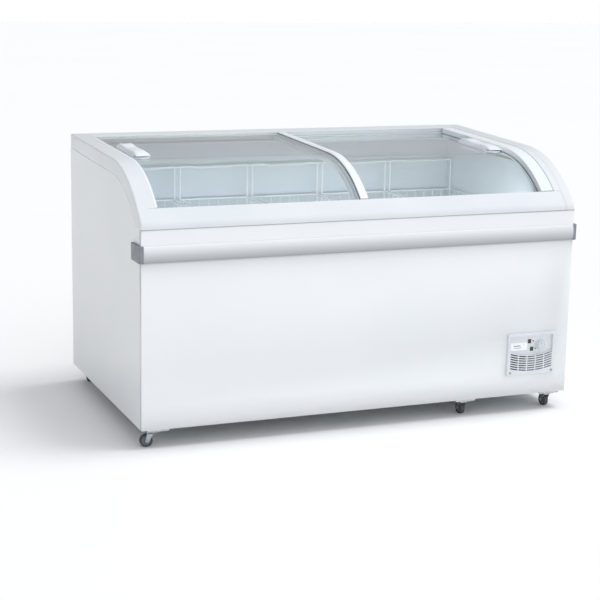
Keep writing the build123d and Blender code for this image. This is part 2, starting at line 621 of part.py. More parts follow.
def bumper_corner(side):
    """Corner piece of the bumper, round the edge at this side (-1 left, 1 right)."""
    outer_x = side * (SIDE_X + SIDE_BUMPER_OUT)
    with BuildPart() as corner:
        with BuildSketch(Plane.XY.offset(BUMPER_Z[0])):
            with BuildLine():
                Polyline((side * BUMPER_END_X, FRONT_Y), (side * BUMPER_END_X, FRONT_Y - CORNER_OUT),
                         (outer_x, FRONT_Y - CORNER_OUT), (outer_x, CORNER_BACK_Y),
                         (side * SIDE_X, CORNER_BACK_Y), (side * SIDE_X, FRONT_Y), close=True)
            make_face()
        extrude(amount=BUMPER_Z[1] - BUMPER_Z[0])
        upright = corner.edges().filter_by(Axis.Z).group_by(Axis.Y)[0]
        fillet(upright.sort_by(Axis.X)[0 if side < 0 else -1], CORNER_R)
        rims = corner.faces().filter_by(Axis.Z)
        outside = [edge for face in rims for edge in face.edges()
                   if abs(edge.center().X) > SIDE_X + 1 or edge.center().Y < FRONT_Y - 1]
        chamfer([edge for edge in outside if edge.center().Y < CORNER_BACK_Y - 1
                 and abs(edge.center().X) > BUMPER_END_X + 1], CORNER_BEVEL)
    return corner


finish_group([bumper_corner(-1), bumper_corner(1)], "bumper_corners")

# ---- control panel: moulded frame with a recess above and a curved grille below ----
PANEL_CORNER_R = 6
PANEL_BEVEL = 2
PANEL_CLEAR = 0.5  # panel to the opening in the steel
RECESS = 8  # depth of the recess
RECESS_W = 160
RECESS_TOP_Z = PANEL_Z + 61
SMILE_R = 250  # radius of the curved lower edge of the recess
SMILE_Z = PANEL_Z - 5.5  # middle of that edge
SLOTS = 7
GRILLE_FIRST = 4.2  # edge of the recess to the first row of slots
GRILLE_PITCH = 7.7
GRILLE_SLOT = 4.2
GRILLE_COLUMNS = 5
GRILLE_BAR = 3  # upright bars between the slots
SCREW_X = 78
SCREW_Z = -61
SCREW_R = 2
SCREW_HEAD_R = 4
SCREW_HEAD_T = 1.2
SPINDLE_R = 3
SPINDLE_CLEAR = 0.08
FACE_Y = FRONT_Y - PANEL_T
FLOOR_Y = FACE_Y + RECESS
BACK_OF_PANEL_Y = FRONT_Y + PANEL_DEEP - PANEL_T
SCREW_PLACES = [(PANEL_X + side * SCREW_X, PANEL_Z + SCREW_Z) for side in (-1, 1)]

with BuildPart() as control_panel:
    with BuildSketch(Plane.XZ.offset(-FRONT_Y)):
        with Locations((PANEL_X, PANEL_Z)):
            RectangleRounded(PANEL_W, PANEL_H, PANEL_CORNER_R)
    extrude(amount=PANEL_T)
    chamfer(control_panel.faces().sort_by(Axis.Y)[0].edges(), PANEL_BEVEL)
    extrude(panel_opening(BACK_OF_PANEL_Y, PANEL_CLEAR), amount=BACK_OF_PANEL_Y - FRONT_Y)
    with BuildSketch(Plane.XZ.offset(-FLOOR_Y)):
        with Locations((PANEL_X, SMILE_Z + SMILE_R)):
            Circle(SMILE_R)
        with Locations((PANEL_X, RECESS_TOP_Z - PANEL_H / 2)):
            Rectangle(RECESS_W, PANEL_H, mode=Mode.INTERSECT)
    extrude(amount=RECESS, mode=Mode.SUBTRACT)
    with BuildSketch(Plane.XZ.offset(-BACK_OF_PANEL_Y)):
        with Locations((PANEL_X, SMILE_Z + SMILE_R)):
            for row in reversed(range(SLOTS)):
                row_r = SMILE_R + GRILLE_FIRST + row * GRILLE_PITCH
                Circle(row_r + GRILLE_SLOT / 2)
                Circle(row_r - GRILLE_SLOT / 2, mode=Mode.SUBTRACT)
        with Locations((PANEL_X, PANEL_Z)):
            with GridLocations(RECESS_W / GRILLE_COLUMNS, 1, GRILLE_COLUMNS, 1):
                Rectangle(RECESS_W / GRILLE_COLUMNS - GRILLE_BAR, PANEL_H,
                          mode=Mode.INTERSECT)
    extrude(amount=PANEL_DEEP, mode=Mode.SUBTRACT)
    with BuildSketch(Plane.XZ.offset(-BACK_OF_PANEL_Y)):
        with Locations((KNOB_X, KNOB_Z)):
            Circle(SPINDLE_R + SPINDLE_CLEAR)
        with Locations(*SCREW_PLACES):
            Circle(SCREW_R)
    extrude(amount=PANEL_DEEP, mode=Mode.SUBTRACT)
finish(control_panel, "control_panel")

# ---- on the control panel: label plate, two lamps, thermostat knob and screws ----
LABEL_X = 556
LABEL_Z = 225.3
LABEL_W = 62
LABEL_H = 26
LABEL_CORNER_R = 1.5
LABEL_T = 1
LAMP_PLACES = {"red_lamp": (595.5, 240.8), "green_lamp": (605, 214.5)}
LAMP_W = 11.5
LAMP_H = 13.5
LAMP_CORNER_R = 1
LAMP_OUT = 2.5
LAMP_BEVEL = 0.6

with BuildPart() as control_label:
    with BuildSketch(Plane.XZ.offset(-FLOOR_Y)):
        with Locations((LABEL_X, LABEL_Z)):
            RectangleRounded(LABEL_W, LABEL_H, LABEL_CORNER_R)
    extrude(amount=LABEL_T)
finish(control_label, "control_label")

for lamp_name, (lamp_x, lamp_z) in LAMP_PLACES.items():
    with BuildPart() as lamp:
        with BuildSketch(Plane.XZ.offset(-FLOOR_Y)):
            with Locations((lamp_x, lamp_z)):
                RectangleRounded(LAMP_W, LAMP_H, LAMP_CORNER_R)
        extrude(amount=LAMP_OUT)
        chamfer(lamp.faces().sort_by(Axis.Y)[0].edges(), LAMP_BEVEL)
    finish(lamp, lamp_name)

THERMOSTAT_W = 40
THERMOSTAT_D = 24
THERMOSTAT_H = 32
SPINDLE_END_CLEAR = 1
SPINDLE_IN = 10  # how far the spindle reaches into the thermostat

with BuildPart() as thermostat:
    block((KNOB_X - THERMOSTAT_W / 2, KNOB_X + THERMOSTAT_W / 2),
          (BACK_OF_PANEL_Y, BACK_OF_PANEL_Y + THERMOSTAT_D),
          (KNOB_Z - THERMOSTAT_H / 2, KNOB_Z + THERMOSTAT_H / 2))
    with BuildSketch(Plane.XZ.offset(-BACK_OF_PANEL_Y)):
        with Locations((KNOB_X, KNOB_Z)):
            Circle(SPINDLE_R + SPINDLE_CLEAR)
    extrude(amount=-SPINDLE_IN - SPINDLE_END_CLEAR, mode=Mode.SUBTRACT)
finish(thermostat, "thermostat")

KNOB_CLEAR = 0.4  # knob to the floor of the recess
KNOB_BACK_Y = FLOOR_Y - KNOB_CLEAR
KNOB_RIM = 3
KNOB_RIM_T = 5
KNOB_GRIP_T = 5.5
KNOB_EDGE_R = 1.2

with BuildPart() as thermostat_knob:
    with BuildSketch(Plane.XZ.offset(-KNOB_BACK_Y)):
        with Locations((KNOB_X, KNOB_Z)):
            Circle(KNOB_R)
    extrude(amount=KNOB_RIM_T)
    with BuildSketch(Plane.XZ.offset(KNOB_RIM_T - KNOB_BACK_Y)):
        with Locations((KNOB_X, KNOB_Z)):
            Circle(KNOB_R - KNOB_RIM)
    extrude(amount=KNOB_GRIP_T)
    fillet(thermostat_knob.faces().sort_by(Axis.Y)[0].edges(), KNOB_EDGE_R)
    with BuildSketch(Plane.XZ.offset(-KNOB_BACK_Y)):
        with Locations((KNOB_X, KNOB_Z)):
            Circle(SPINDLE_R)
    extrude(amount=KNOB_BACK_Y - BACK_OF_PANEL_Y - SPINDLE_IN)
finish(thermostat_knob, "thermostat_knob")

with BuildPart() as panel_screws:
    with BuildSketch(Plane.XZ.offset(-FACE_Y)):
        with Locations(*SCREW_PLACES):
            Circle(SCREW_HEAD_R)
    extrude(amount=SCREW_HEAD_T)
    with BuildSketch(Plane.XZ.offset(-FACE_Y)):
        with Locations(*SCREW_PLACES):
            Circle(SCREW_R)
    extrude(amount=-PANEL_T)
finish(panel_screws, "panel_screws")

# ---- compressor bay: tray, compressor on rubber feet, condenser, fan and its shroud ----
TRAY_T = 2
TRAY_WALL = 18
BAY_X = (ENGINE_X, PANEL_INNER_X)
BAY_Y = (PANEL_INNER_FRONT_Y, PANEL_INNER_BACK_Y)

with BuildPart() as base_tray:
    block(BAY_X, BAY_Y, (BASE_Z, BASE_Z + TRAY_WALL))
    block((ENGINE_X + TRAY_T, PANEL_INNER_X - TRAY_T),
          (PANEL_INNER_FRONT_Y + TRAY_T, PANEL_INNER_BACK_Y - TRAY_T),
          (BASE_Z + TRAY_T, BASE_Z + TRAY_WALL), Mode.SUBTRACT)
finish(base_tray, "base_tray")

COMPRESSOR_X = 590
COMPRESSOR_Y = 250
COMPRESSOR_R = 72
COMPRESSOR_LONGER = 12  # its oval shell is this much longer along X
COMPRESSOR_H = 150
COMPRESSOR_CROWN_R = 34
FOOT_PLATE_EDGE = 15  # foot plate beyond the middle of its feet
FOOT_PLATE_R = 12
FOOT_PLATE_T = 3
FOOT_H = 12
FOOT_R = 11
FOOT_X = 85
FOOT_Y = 55
FOOT_Z = BASE_Z + TRAY_T
SHELL_Z = FOOT_Z + FOOT_H

with BuildPart() as compressor:
    with BuildSketch(Plane.XY.offset(SHELL_Z)):
        with Locations((COMPRESSOR_X, COMPRESSOR_Y)):
            RectangleRounded(2 * (FOOT_X + FOOT_PLATE_EDGE), 2 * (FOOT_Y + FOOT_PLATE_EDGE),
                             FOOT_PLATE_R)
    extrude(amount=FOOT_PLATE_T)
    with BuildSketch(Plane.XY.offset(SHELL_Z)):
        with Locations((COMPRESSOR_X, COMPRESSOR_Y)):
            Ellipse(COMPRESSOR_R + COMPRESSOR_LONGER, COMPRESSOR_R)
    extrude(amount=COMPRESSOR_H)
    fillet(compressor.faces().sort_by(Axis.Z)[-1].edges(), COMPRESSOR_CROWN_R)
finish(compressor, "compressor")

with BuildPart() as compressor_feet:
    with BuildSketch(Plane.XY.offset(FOOT_Z)):
        with Locations((COMPRESSOR_X, COMPRESSOR_Y)):
            with GridLocations(2 * FOOT_X, 2 * FOOT_Y, 2, 2):
                Circle(FOOT_R)
    extrude(amount=FOOT_H)
finish(compressor_feet, "compressor_feet")

CONDENSER_X = (480, 720)
CONDENSER_Y = (-365, -315)
CONDENSER_Z = (FOOT_Z, 300)
FIN_PITCH = 10
FIN_T = 1.5
FIN_TUBE_R = 5
FIN_TUBE_ROWS = 6
FIN_TUBE_PITCH_Y = 25
FIN_TUBE_PITCH_Z = 40
FINS = int((CONDENSER_X[1] - CONDENSER_X[0]) / FIN_PITCH)

with BuildPart() as condenser:
    middle_z = sum(CONDENSER_Z) / 2
    with BuildSketch(Plane.YZ.offset(CONDENSER_X[0])):
        with Locations((sum(CONDENSER_Y) / 2, middle_z)):
            with GridLocations(FIN_TUBE_PITCH_Y, FIN_TUBE_PITCH_Z, 2, FIN_TUBE_ROWS):
                Circle(FIN_TUBE_R)
    extrude(amount=CONDENSER_X[1] - CONDENSER_X[0])
    for fin in range(FINS + 1):
        fin_x = CONDENSER_X[0] + fin * (CONDENSER_X[1] - CONDENSER_X[0] - FIN_T) / FINS
        block((fin_x, fin_x + FIN_T), CONDENSER_Y, CONDENSER_Z)
finish(condenser, "condenser")

FAN_X = 600
FAN_Z = 185
SHROUD_Y = -303
SHROUD_T = 3
SHROUD_R = 73
RING_T = 2
RING_D = 22
FAN_R = 68
HUB_R = 22
HUB_D = 16
HUB_BACK_Y = SHROUD_Y + 17
BLADES = 5
BLADE_W = 40
BLADE_T = 2
BLADE_ROOT = 4  # how far a blade goes into the hub
BLADE_TURN = 28  # degrees
SHAFT_R = 3
SHAFT_CLEAR = 0.05
MOTOR_R = 30
MOTOR_Y = (-277, -232)
STRAP_Z = 18  # straps of the motor, above and below its axis
STRAP_W = 8
STRAP_T = 4
STRAP_OVER = 4  # middle of a strap's foot outside the shroud's bore

with BuildPart() as fan_shroud:
    block(CONDENSER_X, (SHROUD_Y - SHROUD_T, SHROUD_Y), CONDENSER_Z)
    with BuildSketch(Plane.XZ.offset(-SHROUD_Y - RING_D)):
        with Locations((FAN_X, FAN_Z)):
            Circle(SHROUD_R + RING_T)
    extrude(amount=RING_D)
    with BuildSketch(Plane.XZ.offset(-SHROUD_Y - RING_D)):
        with Locations((FAN_X, FAN_Z)):
            Circle(SHROUD_R)
    extrude(amount=RING_D + SHROUD_T, mode=Mode.SUBTRACT)
finish(fan_shroud, "fan_shroud")

with BuildPart() as fan_motor:
    with BuildSketch(Plane.XZ.offset(-MOTOR_Y[1])):
        with Locations((FAN_X, FAN_Z)):
            Circle(MOTOR_R)
    extrude(amount=MOTOR_Y[1] - MOTOR_Y[0])
    strap_x = SHROUD_R + STRAP_OVER
    for strap_z in (FAN_Z - STRAP_Z, FAN_Z + STRAP_Z):
        block((FAN_X - strap_x - STRAP_T / 2, FAN_X + strap_x + STRAP_T / 2),
              (MOTOR_Y[0] - STRAP_T, MOTOR_Y[0]), (strap_z - STRAP_W / 2, strap_z + STRAP_W / 2))
        for foot_x in (FAN_X - strap_x, FAN_X + strap_x):
            block((foot_x - STRAP_T / 2, foot_x + STRAP_T / 2), (SHROUD_Y, MOTOR_Y[0] - STRAP_T),
                  (strap_z - STRAP_W / 2, strap_z + STRAP_W / 2))
    with BuildSketch(Plane.XZ.offset(-MOTOR_Y[0])):
        with Locations((FAN_X, FAN_Z)):
            Circle(SHAFT_R)
    extrude(amount=MOTOR_Y[0] - SHROUD_Y)
finish(fan_motor, "fan_motor")

with BuildPart() as fan:
    with BuildSketch(Plane.XZ.offset(-HUB_BACK_Y)):
        with Locations((FAN_X, FAN_Z)):
            Circle(HUB_R)
    extrude(amount=HUB_D)
    hub_middle = (FAN_X, HUB_BACK_Y - HUB_D / 2, FAN_Z)
    for blade in range(BLADES):
        root = Location(hub_middle) * Location((0, 0, 0), (0, blade * 360 / BLADES, 0))
        with BuildSketch(Plane(root * Location((0, 0, HUB_R - BLADE_ROOT), (0, 0, BLADE_TURN)))):
            Rectangle(BLADE_W, BLADE_T)
        extrude(amount=FAN_R - BLADE_T - (HUB_R - BLADE_ROOT))
    with BuildSketch(Plane.XZ.offset(-HUB_BACK_Y)):
        with Locations((FAN_X, FAN_Z)):
            Circle(SHAFT_R + SHAFT_CLEAR)
    extrude(amount=FAN_R, both=True, mode=Mode.SUBTRACT)
finish(fan, "fan")

# ---- casters: three channels under the cabinet, each with a swivel caster at both ends ----
CHANNEL_W = 70
CHANNEL_T = 2
CHANNEL_Y = (-405, 415)
CHANNEL_Z = BASE_Z - RAIL_H
PLATE_Z = CHANNEL_Z - PLATE_T
PLATE_X = 38
PLATE_Y = 42
PLATE_CORNER_R = 4
LEFT_CHANNEL_IN = 7  # the left channel sits this far inside its casters
PIN_R = 4
PIN_HEAD_R = 6
PIN_HEAD_T = 2
RACE_CLEAR = 0.3
RACE_R = 11
CROWN_T = 2.5
CROWN_W = WHEEL_W + 7
CROWN_FRONT = 11  # ends of the crown to the swivel axis
CROWN_REAR = 13
LEG_FRONT = 8
LEG_T = 2
LEG_CLEAR = 1.5  # wheel to the legs of the fork
AXLE_OUT = 1.5  # axle beyond the legs
WHEEL_EDGE_R = 2.5
PIN_CLEAR = 0.05

with BuildPart() as caster_channels:
    for side, caster_x in CASTER_X.items():
        middle_x = caster_x + (LEFT_CHANNEL_IN if side == "left" else 0)
        block((middle_x - CHANNEL_W / 2, middle_x + CHANNEL_W / 2), CHANNEL_Y,
              (CHANNEL_Z, BASE_Z))
        block((middle_x - CHANNEL_W / 2 + CHANNEL_T, middle_x + CHANNEL_W / 2 - CHANNEL_T),
              (CHANNEL_Y[0] + CHANNEL_T, CHANNEL_Y[1] - CHANNEL_T),
              (CHANNEL_Z + CHANNEL_T, BASE_Z), Mode.SUBTRACT)
finish(caster_channels, "caster_channels")

PIN_FOOT_Z = PLATE_Z - RACE_CLEAR - RACE_T - CROWN_T - RACE_CLEAR - PIN_HEAD_T
CASTER_PLACES = {f"{end}_{side}": (x, y) for side, x in CASTER_X.items()
                 for end, y in CASTER_Y.items()}
CASTER_PLACES[TURNED_CASTER] = TURNED_PLACE

with BuildPart() as caster_plates:
    for place in CASTER_PLACES.values():
        with BuildSketch(Plane.XY.offset(PLATE_Z)):
            with Locations(place):
                RectangleRounded(PLATE_X, PLATE_Y, PLATE_CORNER_R)
        extrude(amount=PLATE_T)
        with BuildSketch(Plane.XY.offset(PIN_FOOT_Z)):
            with Locations(place):
                Circle(PIN_R)
        extrude(amount=PLATE_Z - PIN_FOOT_Z)
        with BuildSketch(Plane.XY.offset(PIN_FOOT_Z)):
            with Locations(place):
                Circle(PIN_HEAD_R)
        extrude(amount=PIN_HEAD_T)
finish(caster_plates, "caster_plates")


def upright(pin, x):
    """Plane square to the axle of a caster, at this distance from its pin."""
    return Plane(pin.location * Plane.YZ.offset(x).location)


def caster(name, x, y, turn=0):
    """A fork that swivels on its pin, with its axle, and a wheel that turns on the axle.

    It is drawn with the wheel behind the pin, then turned about the pin by these degrees.
    """
    crown_z = PLATE_Z - RACE_CLEAR - RACE_T - CROWN_T
    leg_x = WHEEL_W / 2 + LEG_CLEAR
    axle_x = leg_x + LEG_T + AXLE_OUT
    pin = Plane(Location((x, y, 0), (0, 0, turn)))
    with BuildPart(pin) as fork:
        block((-CROWN_W / 2, CROWN_W / 2), (-CROWN_FRONT, CROWN_REAR), (crown_z, crown_z + CROWN_T))
        with BuildSketch(pin.offset(crown_z + CROWN_T)):
            Circle(RACE_R)
        extrude(amount=RACE_T)
        for leg in (-leg_x - LEG_T, leg_x):
            with BuildSketch(upright(pin, leg)):
                with BuildLine():
                    Polyline((-LEG_FRONT, crown_z + CROWN_T), (CROWN_REAR, crown_z + CROWN_T),
                             (TRAIL + 6, WHEEL_R), (TRAIL + 2, WHEEL_R - 6),
                             (TRAIL - 5, WHEEL_R - 5), close=True)
                make_face()
            extrude(amount=LEG_T)
        with BuildSketch(pin.offset(crown_z)):
            Circle(PIN_R + PIN_CLEAR)
        extrude(amount=CROWN_T + RACE_T, mode=Mode.SUBTRACT)
        with BuildSketch(upright(pin, -axle_x)):
            with Locations((TRAIL, WHEEL_R)):
                Circle(AXLE_R)
        extrude(amount=2 * axle_x)
    finish(fork, f"{name}_fork")

    with BuildPart() as wheel:
        with BuildSketch(upright(pin, -WHEEL_W / 2)):
            with Locations((TRAIL, WHEEL_R)):
                Circle(WHEEL_R)
        extrude(amount=WHEEL_W)
        fillet(wheel.edges().filter_by(GeomType.CIRCLE), WHEEL_EDGE_R)
        with BuildSketch(upright(pin, -WHEEL_W / 2)):
            with Locations((TRAIL, WHEEL_R)):
                Circle(AXLE_R + AXLE_CLEAR)
        extrude(amount=WHEEL_W, mode=Mode.SUBTRACT)
    finish(wheel, f"{name}_wheel")


for caster_name, (caster_x, caster_y) in CASTER_PLACES.items():
    caster(caster_name, caster_x, caster_y, 90 if caster_name == TURNED_CASTER else 0)
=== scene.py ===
import math

import bmesh
import bpy
import numpy as np
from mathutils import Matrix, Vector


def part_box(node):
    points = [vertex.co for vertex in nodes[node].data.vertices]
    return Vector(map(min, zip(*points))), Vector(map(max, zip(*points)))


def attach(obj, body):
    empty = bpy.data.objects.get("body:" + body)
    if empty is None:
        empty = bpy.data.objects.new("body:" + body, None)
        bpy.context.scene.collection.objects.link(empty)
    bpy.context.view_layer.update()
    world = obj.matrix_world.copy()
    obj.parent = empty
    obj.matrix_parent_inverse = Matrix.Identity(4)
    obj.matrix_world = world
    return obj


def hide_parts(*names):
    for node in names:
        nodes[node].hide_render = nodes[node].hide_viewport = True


# A curved-glass chest freezer for frozen goods in a shop: a foam-filled steel cabinet on
# casters, a bent-glass top with two sliding lids, and five wire baskets inside.
# Metres. The customer stands on the -Y side, +X is to the right, the floor is z = 0.
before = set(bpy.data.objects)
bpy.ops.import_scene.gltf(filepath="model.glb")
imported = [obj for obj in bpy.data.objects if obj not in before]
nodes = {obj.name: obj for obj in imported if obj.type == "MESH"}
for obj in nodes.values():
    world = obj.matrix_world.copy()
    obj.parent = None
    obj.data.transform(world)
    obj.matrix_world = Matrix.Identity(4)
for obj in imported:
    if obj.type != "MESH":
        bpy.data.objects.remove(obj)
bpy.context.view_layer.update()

# ---- steel cabinet: front tray and side sheets -----------
# The cabinet's skins are 1 mm steel, folded, then powder coated white before the foam goes
# in. The front sheet is a tray whose upright edges roll round the corners of the cabinet;
# the side sheets butt against its returns and run up under the moulded roof frames.
MM = 0.001
ENAMEL_WHITE = "e6e8ea"
ENAMEL_SHADE = "e1e4e6"
SKIN = 1 * MM
EDGE_ROLL = 3.2 * MM  # radius of the tray's rolled upright edges
EDGE_RETURN = 15 * MM  # how far the tray turns back along each side
SEAM = 0.6 * MM  # open seam between neighbouring sheets


def put(name, data):
    """A new object in the scene, from its mesh, light or camera data."""
    made = bpy.data.objects.new(name, data)
    bpy.context.scene.collection.objects.link(made)
    return made


def linear(code):
    """Linear colour of an sRGB hex code: c / 12.92 for dark channels, else
    ((c + 0.055) / 1.055) to the power 2.4."""
    channel = np.array([int(code[i:i + 2], 16) for i in (0, 2, 4)]) / 255
    curve = np.where(channel <= 0.04045, channel / 12.92, ((channel + 0.055) / 1.055) ** 2.4)
    return (*curve.tolist(), 1.0)


def new_material(name):
    """An empty node material."""
    material = bpy.data.materials.new(name)
    material.use_nodes = True
    material.node_tree.nodes.clear()
    return material


def add(material, kind, sockets=None, **settings):
    """Add one shader node. Settings are its own properties; sockets maps an input's name or
    number to its value, or to the output that feeds it."""
    made = material.node_tree.nodes.new("ShaderNode" + kind)
    for key, value in settings.items():
        setattr(made, key, value)
    for key, value in (sockets or {}).items():
        if isinstance(value, bpy.types.NodeSocket):
            material.node_tree.links.new(value, made.inputs[key])
        else:
            made.inputs[key].default_value = value
    return made


def blend(material, factor, light, dark):
    """Output of a colour mix: light where factor is 0, dark where it is 1."""
    return add(material, "Mix", {0: factor, 6: light, 7: dark}, data_type="RGBA").outputs[2]


def spread(material, value, span, to=(0.0, 1.0), **settings):
    """Output of a map range: value, over this span, runs from to[0] to to[1]."""
    return add(material, "MapRange", {"Value": value, "From Min": span[0], "From Max": span[1],
                                      "To Min": to[0], "To Max": to[1]}, **settings).outputs[0]


def finish(material, colour, gloss, height, depth, strength=1.0, **shader):
    """Close a material: a Principled surface of this colour and roughness, with height
    raised as a bump of this depth in metres."""
    bump = add(material, "Bump", {"Strength": strength, "Distance": depth, "Height": height})
    surface = add(material, "BsdfPrincipled", {
        "Base Color": colour, "Roughness": gloss, "Normal": bump.outputs[0], **shader})
    add(material, "OutputMaterial", {"Surface": surface.outputs[0]})
    return material


def coated(name, light, dark, patch, rough, grain=0.8, depth=0.03, **shader):
    """A moulded or sprayed finish. Its colour drifts from light to dark in soft patches
    this many metres across, its roughness drifts with it between the two values of rough,
    and a noise of this grain size and depth, in millimetres, roughens the surface."""
    material = new_material(name)
    place = add(material, "TexCoord").outputs["Object"]
    patches = add(material, "TexNoise", {"Vector": place, "Scale": 1 / patch, "Detail": 3.0})
    skin = add(material, "TexNoise", {"Vector": place, "Scale": 1 / (grain * MM), "Detail": 2.0})
    drift = spread(material, patches.outputs[0], (0.25, 0.75), interpolation_type="SMOOTHSTEP")
    colour = blend(material, drift, linear(light), linear(dark))
    gloss = spread(material, patches.outputs[0], (0.3, 0.7), rough)
    return finish(material, colour, gloss, skin.outputs[0], depth * MM, **shader)


def grid_faces(rows, columns, wrap=False):
    """Quads of a rows by columns grid of points, numbered row by row. Wrap joins the last
    column to the first."""
    column = np.arange(columns if wrap else columns - 1)
    row = np.arange(rows - 1)[:, None] * columns
    beside = (column + 1) % columns
    corners = [row + column, row + beside, row + columns + beside, row + columns + column]
    return np.stack(corners, -1).reshape(-1, 4)


def closed_faces(rows, columns):
    """Quads of a grid that closes on itself both ways."""
    last, first = np.arange(columns) + (rows - 1) * columns, np.arange(columns)
    seam = np.stack([last, np.roll(last, -1), np.roll(first, -1), first], -1)
    return [*grid_faces(rows, columns, wrap=True).tolist(), *seam.tolist()]


def make_piece(name, parts, material, sharp=35):
    """One mesh object from (points, faces) parts. Points that meet are merged, faces turned
    outwards, and edges sharper than this angle in degrees kept crisp."""
    points, faces, start = [], [], 0
    for part_points, part_faces in parts:
        points.append(np.asarray(part_points, float).reshape(-1, 3))
        faces += [tuple(int(i) + start for i in face) for face in part_faces]
        start += len(points[-1])
    mesh = bpy.data.meshes.new(name)
    mesh.from_pydata(np.concatenate(points).tolist(), [], faces)
    shape = bmesh.new()
    shape.from_mesh(mesh)
    bmesh.ops.remove_doubles(shape, verts=shape.verts, dist=1e-6)
    bmesh.ops.dissolve_degenerate(shape, edges=shape.edges, dist=1e-7)
    bmesh.ops.recalc_face_normals(shape, faces=shape.faces)
    shape.to_mesh(mesh)
    shape.free()
    mesh.polygons.foreach_set("use_smooth", np.ones(len(mesh.polygons), bool))
    mesh.set_sharp_from_angle(angle=math.radians(sharp))
    mesh.materials.append(material)
    return put(name, mesh)


def loft(sections):
    """Closed solid through closed sections, an array of (section, point, xyz): quads join
    each section to the next and the first and last are capped."""
    count, around = sections.shape[:2]
    caps = [tuple(range(around)), tuple(range((count - 1) * around, count * around))]
    return sections, [*grid_faces(count, around, wrap=True).tolist(), *caps]


def rectangle(x, y):
    """Four corners between two values of x and two of y."""
    return [(x[0], y[0]), (x[1], y[0]), (x[1], y[1]), (x[0], y[1])]


def rounded(corners, radius, steps=4, closed=True):
    """Polygon or polyline with its corners eased: each corner C becomes the curve
    (1-t)^2 A + 2t(1-t) C + t^2 B, where A and B lie radius away along its two sides. Radius
    is one value or one for each corner."""
    corner = np.asarray(corners, float)
    reach = np.broadcast_to(np.asarray(radius, float), len(corner))[:, None]
    before, after = np.roll(corner, 1, 0) - corner, np.roll(corner, -1, 0) - corner
    lengths = [np.linalg.norm(side, axis=1, keepdims=True) for side in (before, after)]
    a = corner + before / lengths[0] * np.minimum(reach, lengths[0] * 0.49)
    b = corner + after / lengths[1] * np.minimum(reach, lengths[1] * 0.49)
    t = np.linspace(0, 1, steps + 1)[:, None, None]
    eased = ((1 - t) ** 2 * a + 2 * t * (1 - t) * corner + t ** 2 * b).transpose(1, 0, 2)
    if closed:
        return eased.reshape(-1, corner.shape[1])
    middle = eased[1:-1].reshape(-1, corner.shape[1])
    return np.concatenate([corner[:1], middle, corner[-1:]])


def fit(made, body, replaced=()):
    """Let a piece ride on its body and stand for the CAD nodes it hides."""
    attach(made, body)
    if replaced:
        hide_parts(*replaced)
    return made


def dress(material, *names):
    """Give CAD nodes their finish."""
    for name in names:
        mesh = nodes[name].data
        mesh.materials.clear()
        mesh.materials.append(material)


# powder-coated steel: a hard, slightly wavy white skin with a soft gloss
enamel = coated("white_powder_coat", ENAMEL_WHITE, ENAMEL_SHADE, patch=0.7, grain=8,
                depth=0.015, rough=(0.3, 0.36))

# roof line, seen from the side: a gentle slope behind, an arc, and a steep straight front
SLOPE = math.radians(1.9)
LEAN = math.radians(45)
ARC_R = 402 * MM
KNEE_Y = -108 * MM
FRAME_INSET = 48 * MM
front_low, front_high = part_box("front_panel")
SIDE_X = front_high.x
FRONT_Y, BACK_Y = front_low.y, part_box("rear_panel")[1].y
BASE_Z, RIM_Z = front_low.z, front_high.z
TOP_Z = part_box("left_frame")[1].z
KNEE_Z = TOP_Z - math.tan(SLOPE) * (BACK_Y - KNEE_Y)
CENTRE_Y = KNEE_Y + ARC_R * math.sin(SLOPE)
CENTRE_Z = KNEE_Z - ARC_R * math.cos(SLOPE)
ARC_RUN = ARC_R * (LEAN - SLOPE)


def roof(run, inset=0.0):
    """Points (y, z) of the roof line. Run is measured along it from the toe of the arc,
    positive down the front, negative up and back; inset is measured square to it, inwards.
    On the arc the angle is LEAN + run / ARC_R, and beyond either end a straight tangent
    follows."""
    run, inset = np.broadcast_arrays(np.asarray(run, float), np.asarray(inset, float))
    angle = np.clip(LEAN + run / ARC_R, SLOPE, LEAN)
    beyond = np.where(run > 0, run, np.minimum(0, run + ARC_RUN))
    radius = ARC_R - inset
    y = CENTRE_Y - radius * np.sin(angle) - beyond * np.cos(angle)
    z = CENTRE_Z + radius * np.cos(angle) - beyond * np.sin(angle)
    return np.stack([y, z], -1)


def in_plane(x, yz):
    """Points (x, y, z) from one x, or one for each, and pairs (y, z)."""
    x = np.broadcast_to(np.asarray(x, float), yz.shape[:-1])
    return np.concatenate([x[..., None], yz], -1)


# front tray: its plan is a long bar with rolled ends, and the opening for the control panel
# is left out of the grid of faces
panel_low, panel_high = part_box("control_panel")
HOLE_X = (panel_low.x + 7 * MM, panel_high.x - 7 * MM)
HOLE_Z = (panel_low.z + 8 * MM, panel_high.z - 8 * MM)
turn = np.linspace(0, math.pi / 2, 7)
corner_x = SIDE_X - EDGE_ROLL + EDGE_ROLL * np.sin(turn)
corner_y = FRONT_Y + EDGE_ROLL - EDGE_ROLL * np.cos(turn)
plan_x = np.concatenate([[*HOLE_X], corner_x, [SIDE_X]])
plan_y = np.concatenate([[FRONT_Y, FRONT_Y], corner_y, [FRONT_Y + EDGE_RETURN]])
plan_x = np.concatenate([-plan_x[:1:-1], plan_x])
plan_y = np.concatenate([plan_y[:1:-1], plan_y])
levels = np.array([BASE_Z, *HOLE_Z, RIM_Z])
tray = np.stack(np.broadcast_arrays(plan_x, plan_y, levels[:, None]), -1)
tray_faces = grid_faces(*tray.shape[:2])
middle = tray.reshape(-1, 3)[tray_faces].mean(1)
inside_hole = ((middle[:, 0] > HOLE_X[0]) & (middle[:, 0] < HOLE_X[1])
               & (middle[:, 2] > HOLE_Z[0]) & (middle[:, 2] < HOLE_Z[1]))
front_tray = make_piece("front_tray", [(tray, tray_faces[~inside_hole].tolist())], enamel)
if front_tray.data.polygons[0].normal.y > 0:
    front_tray.data.flip_normals()
